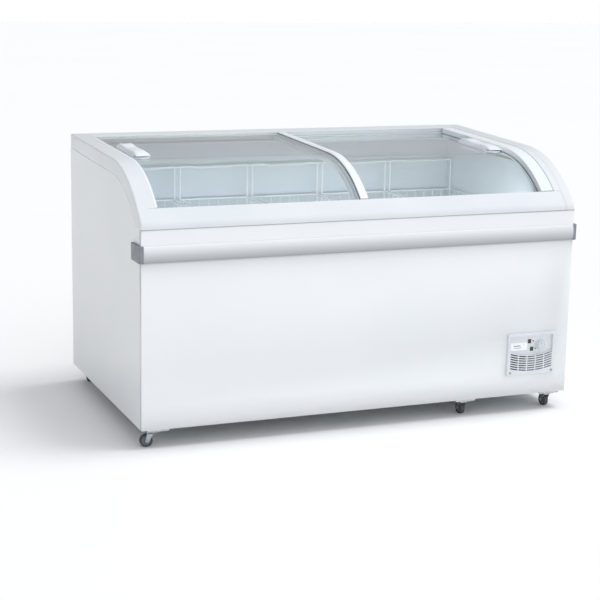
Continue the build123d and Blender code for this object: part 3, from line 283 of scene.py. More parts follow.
wall = front_tray.modifiers.new("sheet", "SOLIDIFY")
wall.thickness, wall.offset = SKIN, -1
fit(front_tray, "cabinet", ["front_panel"])


def under_roof(y):
    """Height of the side sheet's upper edge at each y: the roof line, moved in by the depth
    of the frame, and never under the rim of the front tray."""
    run = np.linspace(-0.85, 0.12, 2000)
    line = roof(run, FRAME_INSET)[::-1]
    return np.maximum(np.interp(y, line[:, 0], line[:, 1]), RIM_Z)


SHEET_CURVE = (-0.372, -0.08)  # y between which the sheet's upper edge is curved
sheet_y = np.concatenate([[FRONT_Y + EDGE_RETURN + SEAM], np.linspace(*SHEET_CURVE, 60),
                          [BACK_Y - SKIN]])
for side, outer in (("left", -SIDE_X), ("right", SIDE_X)):
    inner = outer + math.copysign(SKIN, -outer)
    top = under_roof(sheet_y)
    sections = np.stack([np.stack([np.full_like(sheet_y, x), sheet_y, z], -1)
                         for x, z in ((outer, np.full_like(top, BASE_Z)), (outer, top),
                                      (inner, top), (inner, np.full_like(top, BASE_Z)))], 1)
    sheet = make_piece(f"{side}_side_sheet", [loft(sections)], enamel)
    fit(sheet, "cabinet", [f"{side}_side_panel"])

# ---- back and underside ----------------------------------
# The rear sheet, the bottom pan and the tray under the machinery are bare zinc-coated steel,
# bent and riveted; nobody sees them in the shop. The foam itself is blown in between.
def galvanised(name, light, dark, spangle):
    """Hot-dip zinc: flat crystals, each a cell of the Voronoi pattern of this size in metres,
    with its own shade and gloss."""
    material = new_material(name)
    place = add(material, "TexCoord").outputs["Object"]
    cells = add(material, "TexVoronoi", {"Vector": place, "Scale": 1 / spangle})
    shade = add(material, "SeparateColor", {0: cells.outputs["Color"]})
    colour = blend(material, shade.outputs[0], linear(light), linear(dark))
    gloss = spread(material, shade.outputs[1], (0.0, 1.0), (0.34, 0.52))
    return finish(material, colour, gloss, shade.outputs[2], 0.03 * MM, Metallic=0.85)


zinc_sheet = galvanised("zinc_coated_steel", "c9ced2", "b7bdc2", spangle=14 * MM)
dress(zinc_sheet, "rear_panel", "bottom_pan", "base_tray", "caster_channels", "fan_motor")
dress(enamel, "rear_vent")
rigid_foam = coated("polyurethane_foam", "e3d9b4", "d3c694", patch=0.08, grain=1.2, depth=0.4,
                    rough=(0.85, 0.95))
dress(rigid_foam, "cabinet_foam")
black_rubber = coated("black_rubber", "232425", "2c2d2e", patch=0.03, depth=0.05,
                      rough=(0.6, 0.75))
dress(black_rubber, "cord_gland", "compressor_feet")

# ---- liner -----------------------------------------------
# The tub is lined with thin stucco-embossed aluminium sheet, lacquered a cool grey. Its
# dimples scatter light so that the walls look soft and bluish under the glass.
def embossed(name, light, dark, dimple, rough):
    """Embossed sheet: rounded dimples of this pitch in metres, from the distance to the
    nearest point of a Voronoi pattern, over a slow drift of shade."""
    material = new_material(name)
    place = add(material, "TexCoord").outputs["Object"]
    drift = add(material, "TexNoise", {"Vector": place, "Scale": 2.2, "Detail": 1.0})
    cells = add(material, "TexVoronoi", {"Vector": place, "Scale": 1 / dimple}, feature="SMOOTH_F1")
    colour = blend(material, drift.outputs[0], linear(light), linear(dark))
    gloss = spread(material, cells.outputs[0], (0.0, 1.0), rough)
    return finish(material, colour, gloss, cells.outputs[0], 0.5 * MM, 0.8, Metallic=0.15)


liner_sheet = embossed("embossed_aluminium_liner", "e3eaee", "d5dee3", dimple=5 * MM,
                       rough=(0.38, 0.55))
dress(liner_sheet, "tub_liner")
drawn_aluminium = coated("drawn_aluminium", "c9ccce", "b9bdc0", patch=0.05, grain=1, depth=0.02,
                         rough=(0.3, 0.42), Metallic=1.0)
dress(drawn_aluminium, "evaporator_tube", "condenser")

# ---- roof frames -----------------------------------------
# Two moulded strips of pale grey PVC cap the side walls and carry the curve of the roof.
# Their outer edge is softly rounded, and the right one has a shallow drip channel beside
# the lid. They are screwed down from inside, so no fastening shows.
FRAME_W = 57 * MM
SILL_W = 35 * MM  # below the toe only this much is left beside the front beam
NOSE_R = 9 * MM
pale_pvc = coated("pale_grey_pvc", "dde1e4", "d7dcdf", patch=0.3, grain=1.4, rough=(0.3, 0.4))


def carry(profile, outer, inner, limits=None):
    """Solid whose profile, points of (x, depth), is carried along a path. A station of the
    path is a pair of points (y, z), and depth runs from the outer one, 0, to the inner one,
    1. Limits, one (low, high) for each station, keep x between them."""
    x = np.broadcast_to(profile[:, 0], (len(outer), len(profile)))
    if limits is not None:
        x = np.clip(x, limits[:, :1], limits[:, 1:])
    depth = profile[:, 1][None, :, None]
    return loft(in_plane(x, outer[:, None] * (1 - depth) + inner[:, None] * depth))


toe, inner_toe = roof(0.0), roof(0.0, FRAME_INSET)
nose_run = (toe[0] - FRONT_Y) / math.cos(LEAN)
nose = roof(nose_run)
nose_line = rounded([toe, nose, (FRONT_Y, RIM_Z)], NOSE_R, steps=8, closed=False)
sill_y = toe[0] - (toe[1] - RIM_Z) / math.tan(LEAN) + FRAME_INSET / math.sin(LEAN)
sill_inner = np.array([sill_y, RIM_Z])
arc_run = np.linspace(-ARC_RUN, 0, 49)
rear_end = -ARC_RUN - (BACK_Y - KNEE_Y) / math.cos(SLOPE)
END_R = 6 * MM
end_turn = np.linspace(0, math.pi / 2, 6)
end_shrink = END_R * (1 - np.sin(end_turn))  # how far the section draws in at the rear end
end_run = rear_end + END_R * (1 - np.cos(end_turn))
share = np.linspace(0, 1, len(nose_line))[:, None]
for side, sign in (("left", -1), ("right", 1)):
    edge, inner_x = sign * SIDE_X, sign * (SIDE_X - FRAME_W)
    step = (inner_x - edge) / FRAME_W
    corners = [(edge, 0), (inner_x, 0), (inner_x, 1), (edge, 1)]
    radii = [5 * MM, 1.5 * MM, 0.2 * MM, 2.5 * MM]
    if side == "right":  # drip channel, 14 mm wide and 1.4 mm deep, 12 mm from the lid
        dip = 1.4 * MM / FRAME_INSET
        channel = [(edge + step * across * MM, depth * dip)
                   for across, depth in ((28, 0), (33, 1), (42, 1), (45, 0))]
        corners[1:1] = channel
        radii[1:1] = [2 * MM, 1.5 * MM, 1.5 * MM, 1 * MM]
    scaled = np.array([(x, depth * FRAME_INSET) for x, depth in corners])
    profile = rounded(scaled, radii, steps=6)
    profile[:, 1] /= FRAME_INSET
    runs = np.concatenate([end_run, arc_run])
    shrink = np.concatenate([end_shrink, np.zeros(len(arc_run))])
    outer_path = np.concatenate([roof(runs, shrink), toe[None], nose_line])
    inner_path = np.concatenate([roof(runs, FRAME_INSET - shrink), inner_toe[None],
                                 inner_toe * (1 - share) + sill_inner * share])
    outer_path[0, 0] = inner_path[0, 0] = BACK_Y
    outer_path[:, 0] = np.minimum(outer_path[:, 0], BACK_Y)
    inner_path[:, 0] = np.minimum(inner_path[:, 0], BACK_Y)
    ends = (edge - sign * np.concatenate([shrink, np.zeros(len(nose_line) + 1)]),
            np.where(np.arange(len(outer_path)) < len(runs), inner_x, sign * (SIDE_X - SILL_W)))
    limits = np.sort(np.stack(ends, -1), axis=1)
    cap = make_piece(f"{side}_roof_frame", [carry(profile, outer_path, inner_path, limits)],
                     pale_pvc)
    fit(cap, "cabinet", [f"{side}_frame"])

# ---- front and rear beams --------------------------------
# Extrusions of the same PVC close the roof in front and behind. Each has two grooves, one
# under the other, in which the lids slide; the front beam rolls over into a short apron
# above the steel tray and shows a fine joint where it meets each side frame.
BEAM_X = SIDE_X - FRAME_W
BEAM_END_X = SIDE_X - SILL_W - 0.05 * MM
TRACK_DEEP = 10 * MM
UPPER_TRACK = (2 * MM, 16 * MM)
LOWER_TRACK = (17.5 * MM, 31.5 * MM)
SHELF_FLOOR = 37.5 * MM
REAR_BEAM_RUN = (KNEE_Y - 347 * MM) / math.cos(SLOPE) - ARC_RUN
tub_low, tub_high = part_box("tub_liner")


def track_edge(sign, start):
    """Corners (run, inset) of a beam's grooved edge, from its lip to the shelf under the lower
    groove. Sign is the way into the beam along the roof line."""
    into = np.array([0, 0, 1, 1, -0.2, -0.2, 1, 1, -0.6, -0.6]) * TRACK_DEEP
    inset = [0, UPPER_TRACK[0], UPPER_TRACK[0], UPPER_TRACK[1], UPPER_TRACK[1], LOWER_TRACK[0],
             LOWER_TRACK[0], LOWER_TRACK[1], LOWER_TRACK[1], SHELF_FLOOR]
    return roof(start + sign * into, np.array(inset))


groove = track_edge(1, 0.0)
shelf_z = groove[-1, 1] - 6 * MM
front_y = tub_low.y + SKIN
beam = np.concatenate([[(FRONT_Y, RIM_Z), nose], groove, [(front_y, shelf_z), (front_y, RIM_Z)]])
beam_r = np.array([0.5, 9, 1.2, 0.5, 0, 0, 0.5, 0.5, 0, 0, 0.5, 0.5, 0.5, 0.2]) * MM
full = rounded(beam, beam_r, steps=6)
plain = beam.copy()  # beyond the lids the beam is a plain wedge: its grooves close up
fall = np.linspace(0.1, 0.9, len(beam) - 4)[:, None]
plain[3:-1] = toe + (np.array([front_y, RIM_Z]) - toe) * fall
plain = rounded(plain, beam_r, steps=6)
sections = np.stack([in_plane(x, outline) for x, outline in (
    (-BEAM_END_X, plain), (-BEAM_X, plain), (-BEAM_X, full), (BEAM_X, full), (BEAM_X, plain),
    (BEAM_END_X, plain))])
front_beam = make_piece("front_roof_beam", [loft(sections)], pale_pvc)
fit(front_beam, "cabinet", ["front_beam"])

# joint: a thin grey bead between the beam and the steel tray, whose grey is painted shade standing
# for the shadow in the gap there
joint_painted_shade = coated("grey_joint_painted_shade", "8f969b", "848b90", patch=0.1, grain=1, depth=0.04,
                    rough=(0.5, 0.6))
bead_yz = np.array([(0.5, -0.8), (-0.5, -0.6), (-0.5, 0.6), (0.5, 0.8)]) * MM + (FRONT_Y, RIM_Z)
joint = make_piece("rim_joint", [loft(np.stack([in_plane(x, bead_yz) for x in (-SIDE_X, SIDE_X)]))],
                   joint_painted_shade)
fit(joint, "cabinet")

rear_groove = track_edge(-1, REAR_BEAM_RUN)
rear_y = tub_high.y - SKIN


def under_rear(y, inset):
    """Point (y, z) under the rear slope of the roof at this y and inset."""
    return (y, KNEE_Z + (y - KNEE_Y) * math.tan(SLOPE) - inset / math.cos(SLOPE))


rear_beam = np.concatenate([
    [under_rear(BACK_Y, FRAME_INSET), under_rear(BACK_Y, 0)], rear_groove,
    [under_rear(rear_y, SHELF_FLOOR), under_rear(rear_y, FRAME_INSET)]])
rear_r = np.array([0.5, 5, 1.2, 0.5, 0, 0, 0.5, 0.5, 0, 0, 0.5, 0.5, 0.5, 0.5]) * MM
outline = rounded(rear_beam, rear_r, steps=6)
sections = np.stack([in_plane(x, outline) for x in (-BEAM_X, BEAM_X)])
rear_piece = make_piece("rear_roof_beam", [loft(sections)], pale_pvc)
fit(rear_piece, "cabinet", ["rear_beam"])

# ---- sliding lids ----------------------------------------
# Two panes of 4 mm tempered glass, heat-bent over the same arc, each held by white moulded
# edge strips. The left lid runs in the upper grooves and passes over the right one; nylon
# gliders at its four corners bear on the grooves.
LIDS = (("upper_lid", UPPER_TRACK), ("lower_lid", LOWER_TRACK))
GLASS_T = 4 * MM
GLASS_IN = 2.4 * MM
STRIP_GAP = 3 * MM
strip_plastic = coated("white_moulded_abs", "eef2f5", "e5eaee", patch=0.2, grain=1.2,
                       rough=(0.28, 0.36))
seal_rubber = coated("grey_seal_rubber", "6d767b", "5d656a", patch=0.05, depth=0.04,
                     rough=(0.55, 0.7))
nylon = coated("white_nylon", "e9ebea", "dcdfde", patch=0.05, rough=(0.4, 0.5))
dress(nylon, "upper_lid_gliders", "lower_lid_gliders")


def pane_glass(name, tint):
    """Tempered float glass: clear and glossy with a faint green-blue body, a thin film of
    wiping marks in its roughness, and no caustics, so light reaches the goods below."""
    material = new_material(name)
    place = add(material, "TexCoord").outputs["Object"]
    wiping = add(material, "TexNoise", {"Vector": place, "Scale": 9.0, "Detail": 4.0})
    gloss = spread(material, wiping.outputs[0], (0.45, 0.75), (0.0, 0.05))
    pane = add(material, "BsdfPrincipled", {
        "Base Color": linear(tint), "Roughness": gloss, "IOR": 1.52,
        "Transmission Weight": 1.0})
    clear = add(material, "BsdfTransparent", {"Color": linear(tint)})
    rays = add(material, "LightPath")
    through = add(material, "MixShader", {0: rays.outputs["Is Shadow Ray"], 1: pane.outputs[0],
                                          2: clear.outputs[0]})
    add(material, "OutputMaterial", {"Surface": through.outputs[0]})
    return material


glass = pane_glass("tempered_glass", "f5f9fa")
lid_runs = np.concatenate([[REAR_BEAM_RUN - 7 * MM], arc_run, [7 * MM]])
strip_runs = np.concatenate([[REAR_BEAM_RUN + STRIP_GAP], arc_run[:-1], [-STRIP_GAP]])


def lid_strip(x, inset, radius):
    """A strip of a lid: a rounded rectangle (x, inset) carried along the roof line."""
    profile = rounded(rectangle(x, inset), np.array([radius, radius, 0.4 * MM, 0.4 * MM]), steps=5)
    sections = roof(strip_runs[:, None], profile[:, 1][None])
    return loft(in_plane(profile[:, 0][None].repeat(len(strip_runs), 0), sections))


strips = {
    "upper_lid": {"left": (1.5 * MM, 1.2 * MM), "right": (0.5 * MM, 3 * MM)},
    "lower_lid": {"left": (18 * MM, 1.2 * MM), "right": (1 * MM, 3.5 * MM)}}
for lid, track in LIDS:
    pane_low, pane_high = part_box(f"{lid}_glass")
    insets = np.array([track[0] + GLASS_IN, track[0] + GLASS_IN + GLASS_T])
    edges = roof(lid_runs[:, None], insets[None])
    ring = np.stack([in_plane(pane_low.x, edges[:, 0]), in_plane(pane_high.x, edges[:, 0]),
                     in_plane(pane_high.x, edges[:, 1]), in_plane(pane_low.x, edges[:, 1])], 1)
    pane = make_piece(f"{lid}_pane", [loft(ring)], glass)
    fit(pane, lid, [f"{lid}_glass"])
    for side, (top, radius) in strips[lid].items():
        strip_low, strip_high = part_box(f"{lid}_{side}_strip")
        bottom = track[1] - 0.5 * MM
        strip = lid_strip((strip_low.x, strip_high.x), (top, bottom), radius)
        made = make_piece(f"{lid}_{side}_edge", [strip], strip_plastic)
        fit(made, lid, [f"{lid}_{side}_strip"])

# rubber beads where the panes meet their strips
BEAD = 3 * MM
for lid, track in LIDS:
    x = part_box(f"{lid}_right_strip")[0].x
    pane_top = track[0] + GLASS_IN
    bead = lid_strip((x - BEAD, x + 1 * MM), (pane_top - 1 * MM, pane_top), 0.8 * MM)
    made = make_piece(f"{lid}_seal", [bead], seal_rubber)
    fit(made, lid)

# ---- lid handles -----------------------------------------
# A white moulded grip is taped to each pane, behind the bend of the glass: a hood with two
# soft swells over a flat foot, a slot for the fingers under its front edge, and a dished
# thumb rest at its rear.
HANDLE_FOOT = 3 * MM
HANDLE_W = 52 * MM
MOUTH_DEEP = 28 * MM
MOUTH_H = 4 * MM
HANDLE_RUN = (-ARC_RUN - 243 * MM, -ARC_RUN + 2 * MM)
handle_plastic = coated("white_glossy_abs", "f1f4f7", "e8edf1", patch=0.1, grain=0.9,
                        depth=0.02, rough=(0.2, 0.28))
knots = np.array([(0, 3.2), (0.28, 19.5), (0.52, 16.5), (0.74, 18.5), (0.9, 16), (1, 10)])
hump = np.polynomial.Polynomial.fit(knots[:, 0], knots[:, 1] * MM, 5)
for lid, track in LIDS:
    grip_low, grip_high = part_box(f"{lid}_handle")
    middle_x = (grip_low.x + grip_high.x) / 2
    foot_inset = track[0] + GLASS_IN - 0.3 * MM
    along = np.linspace(0, 1, 61)
    run = HANDLE_RUN[0] + (HANDLE_RUN[1] - HANDLE_RUN[0]) * along
    # foot: a flat plate whose plan has rounded corners
    plan = HANDLE_W / 2 * (1 - np.abs(2 * along - 1) ** 14) ** 0.5
    plan = np.maximum(plan, 4 * MM)
    around = rounded([(-1, 1), (1, 1), (1, 0), (-1, 0)], 0.05, steps=2)
    foot = in_plane(middle_x + plan[:, None] * around[:, 0],
                    roof(run[:, None], foot_inset - HANDLE_FOOT * around[:, 1]))
    # hood: height over the foot's underside is floor + (hump - floor) * (1 - v^6)^0.6, with a
    # thumb rest dished out of it
    v = np.sin(np.linspace(-math.pi / 2, math.pi / 2, 33))
    widening = np.sin(np.clip(along / 0.5, 0, 1) * math.pi / 2)
    width = (HANDLE_W / 2 - 1.5 * MM) * (0.86 + 0.14 * widening)
    mouth = (along > 1 - MOUTH_DEEP / (HANDLE_RUN[1] - HANDLE_RUN[0]))
    floor = np.where(mouth, HANDLE_FOOT + MOUTH_H, HANDLE_FOOT * 0.6)
    crown = np.maximum(hump(along), floor + 0.6 * MM)
    dish = 5 * MM * np.exp(-((along - 0.16) / 0.08) ** 2)
    height = floor[:, None] + (crown - floor)[:, None] * np.maximum(1 - v ** 6, 0) ** 0.6
    height -= dish[:, None] * np.clip(1 - (v / 0.72) ** 2, 0, 1)
    top_line = in_plane(middle_x + width[:, None] * v, roof(run[:, None], foot_inset - height))
    low_line = in_plane(middle_x + width[:, None] * v[::-1] * 0.999,
                        roof(run[:, None], foot_inset - floor[:, None] * np.ones(len(v))))
    hood = np.concatenate([top_line, low_line[:, 1:-1]], 1)
    grip = make_piece(f"{lid}_grip", [loft(foot), loft(hood)], handle_plastic, sharp=40)
    fit(grip, lid, [f"{lid}_handle"])

# ---- baskets ---------------------------------------------
# Five baskets of steel wire, spot welded and dipped in white plastic. A 5 mm wire makes the
# rim and the tall loop behind; bent 3 mm wires make the mesh. Each basket hangs from two
# rods by hooks on its rim and on its loop.
RIM_WIRE = 2.8 * MM
MESH_WIRE = 2 * MM
WIRE_BEND = 10 * MM
MESH_COLUMNS = 7
MESH_ROWS = 17
LOOP_DIP = 5 * MM
BASKET_Y = (-322 * MM, 310 * MM)  # front and rear of the rim
BASKET_RIM_Z = 650 * MM
plastic_dip = coated("white_plastic_dip", "f4f7f9", "e9edf0", patch=0.06, grain=1.5, depth=0.06,
                     rough=(0.26, 0.34))
dress(plastic_dip, "basket_rails")


def wire(path, normal, radius, sides=6, closed=False):
    """Round wire along a flat path: at each point a ring of radius about it, in the plane of
    the path's normal and of the side direction, tangent x normal."""
    path, normal = np.asarray(path, float), np.asarray(normal, float)
    if closed:
        tangent = np.roll(path, -1, 0) - np.roll(path, 1, 0)
    else:
        tangent = np.gradient(path, axis=0)
    tangent /= np.linalg.norm(tangent, axis=1, keepdims=True)
    across = np.cross(tangent, normal)
    angle = np.linspace(0, 2 * math.pi, sides, endpoint=False)[None, :, None]
    rings = path[:, None] + radius * (np.cos(angle) * normal + np.sin(angle) * across[:, None])
    if closed:
        return rings, closed_faces(len(path), sides)
    return loft(rings)


for number in range(1, 6):
    basket_low, basket_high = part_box(f"basket_{number}")
    half = (basket_high.x - basket_low.x) / 2 - RIM_WIRE
    x = (basket_low.x + basket_high.x) / 2
    y = (BASKET_Y[0] + RIM_WIRE, BASKET_Y[1] - RIM_WIRE)
    rim_z, floor_z = BASKET_RIM_Z - RIM_WIRE, basket_low.z + MESH_WIRE
    loop_z = basket_high.z - RIM_WIRE
    wires = []
    rim = [(*corner, rim_z) for corner in rectangle((x - half, x + half), y)]
    wires.append(wire(rounded(rim, WIRE_BEND, steps=4), (0, 0, 1), RIM_WIRE, 8, closed=True))
    for share in (1 / 3, 2 / 3):
        ring = np.array(rim)
        ring[:, 2] = floor_z + (rim_z - floor_z) * share
        wires.append(wire(rounded(ring, WIRE_BEND, steps=3), (0, 0, 1), MESH_WIRE, closed=True))
    for place in x + half * np.linspace(-1, 1, MESH_COLUMNS + 1)[1:-1]:
        bent = [(place, y[0], rim_z), (place, y[0], floor_z), (place, y[1], floor_z),
                (place, y[1], rim_z)]
        wires.append(wire(rounded(bent, WIRE_BEND, steps=3, closed=False), (1, 0, 0), MESH_WIRE))
    for place in np.linspace(*y, MESH_ROWS + 1)[1:-1]:
        bent = [(x - half, place, rim_z), (x - half, place, floor_z + 2 * MESH_WIRE),
                (x + half, place, floor_z + 2 * MESH_WIRE), (x + half, place, rim_z)]
        wires.append(wire(rounded(bent, WIRE_BEND, steps=3, closed=False), (0, 1, 0), MESH_WIRE))
    # tall loop: its top is lowered in the middle by a smooth step
    top_x = np.linspace(-half + WIRE_BEND, half - WIRE_BEND, 40)
    ease = np.clip((84 * MM - np.abs(top_x)) / (24 * MM), 0, 1)
    sag = LOOP_DIP * ease ** 2 * (3 - 2 * ease)
    top = np.stack([x + top_x, np.full(40, y[1]), loop_z - sag], -1)
    turn = np.linspace(0, math.pi / 2, 5)[:-1]
    bend_x = half - WIRE_BEND + WIRE_BEND * np.cos(turn)
    bend_z = loop_z - WIRE_BEND + WIRE_BEND * np.sin(turn)
    foot_z = floor_z + 60 * MM
    right = np.stack([x + bend_x, np.full(4, y[1]), bend_z], -1)
    left = right * (-1, 1, 1) + (2 * x, 0, 0)
    feet = [[(x + sign * half, y[1], foot_z)] for sign in (-1, 1)]
    loop = np.concatenate([feet[0], left, top, right[::-1], feet[1]])
    wires.append(wire(loop, (0, 1, 0), RIM_WIRE, 8))
    for hook_x in (x - half + 14 * MM, x + half - 14 * MM):
        rod_y = y[1] + 23 * MM
        hook = [(hook_x, y[1], loop_z), (hook_x, rod_y, loop_z), (hook_x, rod_y, loop_z - 11 * MM)]
        wires.append(wire(rounded(hook, 4 * MM, closed=False), (1, 0, 0), 1.6 * MM))
    for hook_x in (x - 88 * MM, x + 88 * MM):
        hook_top, rod_y = rim_z + 2.5 * MM, y[0] - 17 * MM
        hook = [(hook_x, y[0], rim_z - 12 * MM), (hook_x, y[0], hook_top),
                (hook_x, rod_y, hook_top), (hook_x, rod_y, rim_z - 8 * MM)]
        wires.append(wire(rounded(hook, 4 * MM, closed=False), (1, 0, 0), 1.6 * MM))
    made = make_piece(f"wire_basket_{number}", wires, plastic_dip, sharp=60)
    fit(made, f"basket_{number}", [f"basket_{number}"])

# ---- bumper ----------------------------------------------
# An aluminium extrusion with a swelling face takes the knocks of shopping trolleys. It is
# satin anodised along its length, its face carries painted shade that darkens it downwards,
# and it ends in moulded corner pieces whose dark grey is painted shade.
bumper_low, bumper_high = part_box("front_bumper")
BUMPER_EDGE = 6 * MM


def brushed(name, light, dark, pitch, rough):
    """Satin-brushed anodised aluminium: fine lines along x, from a noise stretched forty times
    that way, with this line pitch in metres. Its colour carries painted light and shade: it runs
    from light where the face looks up to dark where it looks down."""
    material = new_material(name)
    place = add(material, "TexCoord").outputs["Object"]
    stretched = add(material, "Mapping", {0: place, 3: (0.025, 1.0, 1.0)})
    lines = add(material, "TexNoise", {"Vector": stretched.outputs[0], "Scale": 1 / pitch,
                                       "Detail": 2.0})
    tilt = add(material, "SeparateXYZ", {0: add(material, "TexCoord").outputs["Normal"]})
    # painted light and shade: pale where the normal points up, dark where it points down
    shade = spread(material, tilt.outputs[2], (-0.3, 0.3), (1.0, 0.0))
    painted_tone = blend(material, shade, linear(light), linear(dark))
    faint = add(material, "Math", {0: 0.15, 1: lines.outputs[0]}, operation="MULTIPLY")
    colour = blend(material, faint.outputs[0], painted_tone, linear(dark))
    gloss = spread(material, lines.outputs[0], (0.3, 0.7), rough)
    return finish(material, colour, gloss, lines.outputs[0], 0.02 * MM, 0.6, Metallic=0.6)


# the dark colour here is the painted shade on the lower half of the swelling face
aluminium_with_painted_shade = brushed("satin_anodised_aluminium", "f0f2f4", "a2a5a9", pitch=1.2 * MM,
                          rough=(0.36, 0.46))
swell = np.linspace(-1, 1, 25)
middle_z, half_h = (bumper_low.z + bumper_high.z) / 2, (bumper_high.z - bumper_low.z) / 2
face_y = bumper_low.y + (BUMPER_EDGE - (FRONT_Y - bumper_low.y)) * -1 * swell ** 2
face = np.stack([face_y, middle_z + half_h * swell], -1)
low_edge, high_edge = middle_z - half_h, middle_z + half_h
section = np.concatenate([
    [(FRONT_Y, low_edge), (face_y[0] + 1 * MM, low_edge), (face_y[0], low_edge + 1 * MM)],
    face[1:-1],
    [(face_y[0], high_edge - 1 * MM), (face_y[0] + 1 * MM, high_edge), (FRONT_Y, high_edge)]])
bar_ends = np.stack([in_plane(x, section) for x in (bumper_low.x, bumper_high.x)])
bar = make_piece("bumper_bar", [loft(bar_ends)], aluminium_with_painted_shade)
fit(bar, "cabinet", ["front_bumper"])

# the corners' dark grey is painted shade: the sides of the cabinet they wrap round lie in shadow
corner_painted_shade = coated("corner_moulding_painted_shade", "868c92", "7b8187", patch=0.03, grain=1,
                        depth=0.05, rough=(0.4, 0.5))
corner_low, corner_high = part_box("bumper_corners")
corner_parts = []
for sign in (-1, 1):
    outer_x = sign * corner_high.x
    outer = rounded([(sign * bumper_high.x, corner_low.y), (outer_x, corner_low.y),
                     (outer_x, corner_high.y)], 8 * MM, steps=10, closed=False)
    skin_x, skin_y = sign * SIDE_X, FRONT_Y
    inner = np.stack([sign * np.minimum(np.abs(outer[:, 0]), SIDE_X),
                      np.maximum(outer[:, 1], skin_y)], -1)
    inner[-1] = (skin_x, corner_high.y)
    ring = rounded([(0, 0), (1, 0), (1, 1), (0, 1)], np.array([0.0, 0.06, 0.06, 0.0]), steps=4)
    z = bumper_low.z + (bumper_high.z - bumper_low.z) * ring[:, 1]
    t = ring[:, 0][None, :, None]
    plan = inner[:, None] * (1 - t) + outer[:, None] * t
    sections = np.concatenate([plan, np.broadcast_to(z, plan.shape[:2])[..., None]], -1)
    corner_parts.append(loft(sections))
ends = make_piece("bumper_corner_pair", corner_parts, corner_painted_shade)
fit(ends, "cabinet", ["bumper_corners"])

# ---- control panel ---------------------------------------
# A grey-white ABS moulding set in the lower right of the front: a recess above for lamps
# and thermostat, a curved grille below for the condenser's air, and a screw in each lower
# corner. A black foam filter lies behind the grille.
panel_plastic = coated("grey_white_abs", "dde1e4", "d4d9dc", patch=0.06, rough=(0.32, 0.4))
dress(panel_plastic, "control_panel")
printed = coated("printed_label", "f6f8f9", "eef1f3", patch=0.02, grain=0.5, depth=0.01,
                 rough=(0.3, 0.36))
dress(printed, "control_label")
for lamp, light, dark in (("red", "4a1418", "330d12"), ("green", "14372c", "0d2a21")):
    lens = coated(f"dark_{lamp}_lens", light, dark, patch=0.004, grain=0.6, rough=(0.1, 0.16),
                  **{"Coat Weight": 0.5})
    dress(lens, f"{lamp}_lamp")
black_plastic = coated("black_moulded_plastic", "202224", "292b2d", patch=0.03, depth=0.04,
                       rough=(0.4, 0.5))
dress(black_plastic, "thermostat", "fan_shroud", "fan")

# filter: a sheet of open black foam against the back of the grille
filter_foam = coated("black_filter_foam", "161718", "0f1011", patch=0.02, grain=2, depth=0.6,
                     rough=(0.85, 0.95))
filter_y = panel_high.y + 0.5 * MM
filter_x = (panel_low.x + 12 * MM, panel_high.x - 12 * MM)
filter_z = (panel_low.z + 12 * MM, panel_low.z + 76 * MM)
plan = rounded(rectangle(filter_x, filter_z), 6 * MM)
filter_sections = [np.column_stack([plan[:, 0], np.full(len(plan), y), plan[:, 1]])
                   for y in (filter_y, filter_y + 5 * MM)]
intake_filter = make_piece("intake_filter", [loft(np.stack(filter_sections))], filter_foam)
fit(intake_filter, "cabinet")

# thermostat knob: a skirt with a ribbed cap, turned from a profile whose radius swells on
# each of its ribs, and a pointer line moulded on its face
knob_low, knob_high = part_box("thermostat_knob")
KNOB_RIBS = 18
knob_x, knob_z = (knob_low.x + knob_high.x) / 2, (knob_low.z + knob_high.z) / 2
knob_r = (knob_high.x - knob_low.x) / 2
knob_back = knob_low.y + 10.5 * MM
turned = rounded([(0, 0), (knob_r, 0), (knob_r, 3 * MM), (knob_r - 3.2 * MM, 5 * MM),
                  (knob_r - 4 * MM, 10.5 * MM), (0, 10.5 * MM)],
                 np.array([0, 0.4, 1, 0.8, 1.4, 0]) * MM, steps=5)
turned = turned[(turned[:, 0] > 1e-6)]
turned = np.concatenate([[(0.2 * MM, 0)], turned, [(0.2 * MM, 10.5 * MM)]])
angle = np.linspace(0, 2 * math.pi, 144, endpoint=False)[:, None]
ribbed = np.where((turned[:, 1] > 5 * MM) & (turned[:, 0] > knob_r - 6 * MM), 0.35 * MM, 0)
radius = turned[:, 0] + ribbed * np.cos(KNOB_RIBS * angle)
rings = np.stack([knob_x + radius * np.cos(angle),
                  np.broadcast_to(knob_back - turned[:, 1], radius.shape),
                  knob_z + radius * np.sin(angle)], -1).transpose(1, 0, 2)
knob_plastic = coated("pale_grey_abs", "d3d8dc", "c8ced3", patch=0.01, grain=0.7,
                      rough=(0.28, 0.36))
knob = make_piece("knob", [loft(rings)], knob_plastic, sharp=30)
fit(knob, "thermostat_knob", ["thermostat_knob"])
pointer_grey = coated("dark_grey_print", "4b5156", "41464b", patch=0.005, grain=0.5, depth=0.01,
                      rough=(0.4, 0.5))


def slab(centre, size, turn=0.0):
    """A thin mark on the panel: a rounded rectangle (x, z), turned by this angle about its
    centre, standing size[1] out of the surface at y."""
    outline = rounded(rectangle((-size[0] / 2, size[0] / 2), (-size[2] / 2, size[2] / 2)),
                      min(size[0], size[2]) * 0.3, steps=2)
    c, s = math.cos(turn), math.sin(turn)
    spun = outline @ np.array([[c, s], [-s, c]])
    x, z = centre[0] + spun[:, 0], centre[2] + spun[:, 1]
    sections = [np.stack([x, np.full(len(x), y), z], -1)
                for y in (centre[1], centre[1] - size[1])]
    return loft(np.stack(sections))


pointer = make_piece("knob_pointer", [slab((knob_x, knob_low.y + 0.15 * MM, knob_z + 6 * MM),
                                           (1.4 * MM, 0.15 * MM, 7 * MM))], pointer_grey)
fit(pointer, "thermostat_knob")

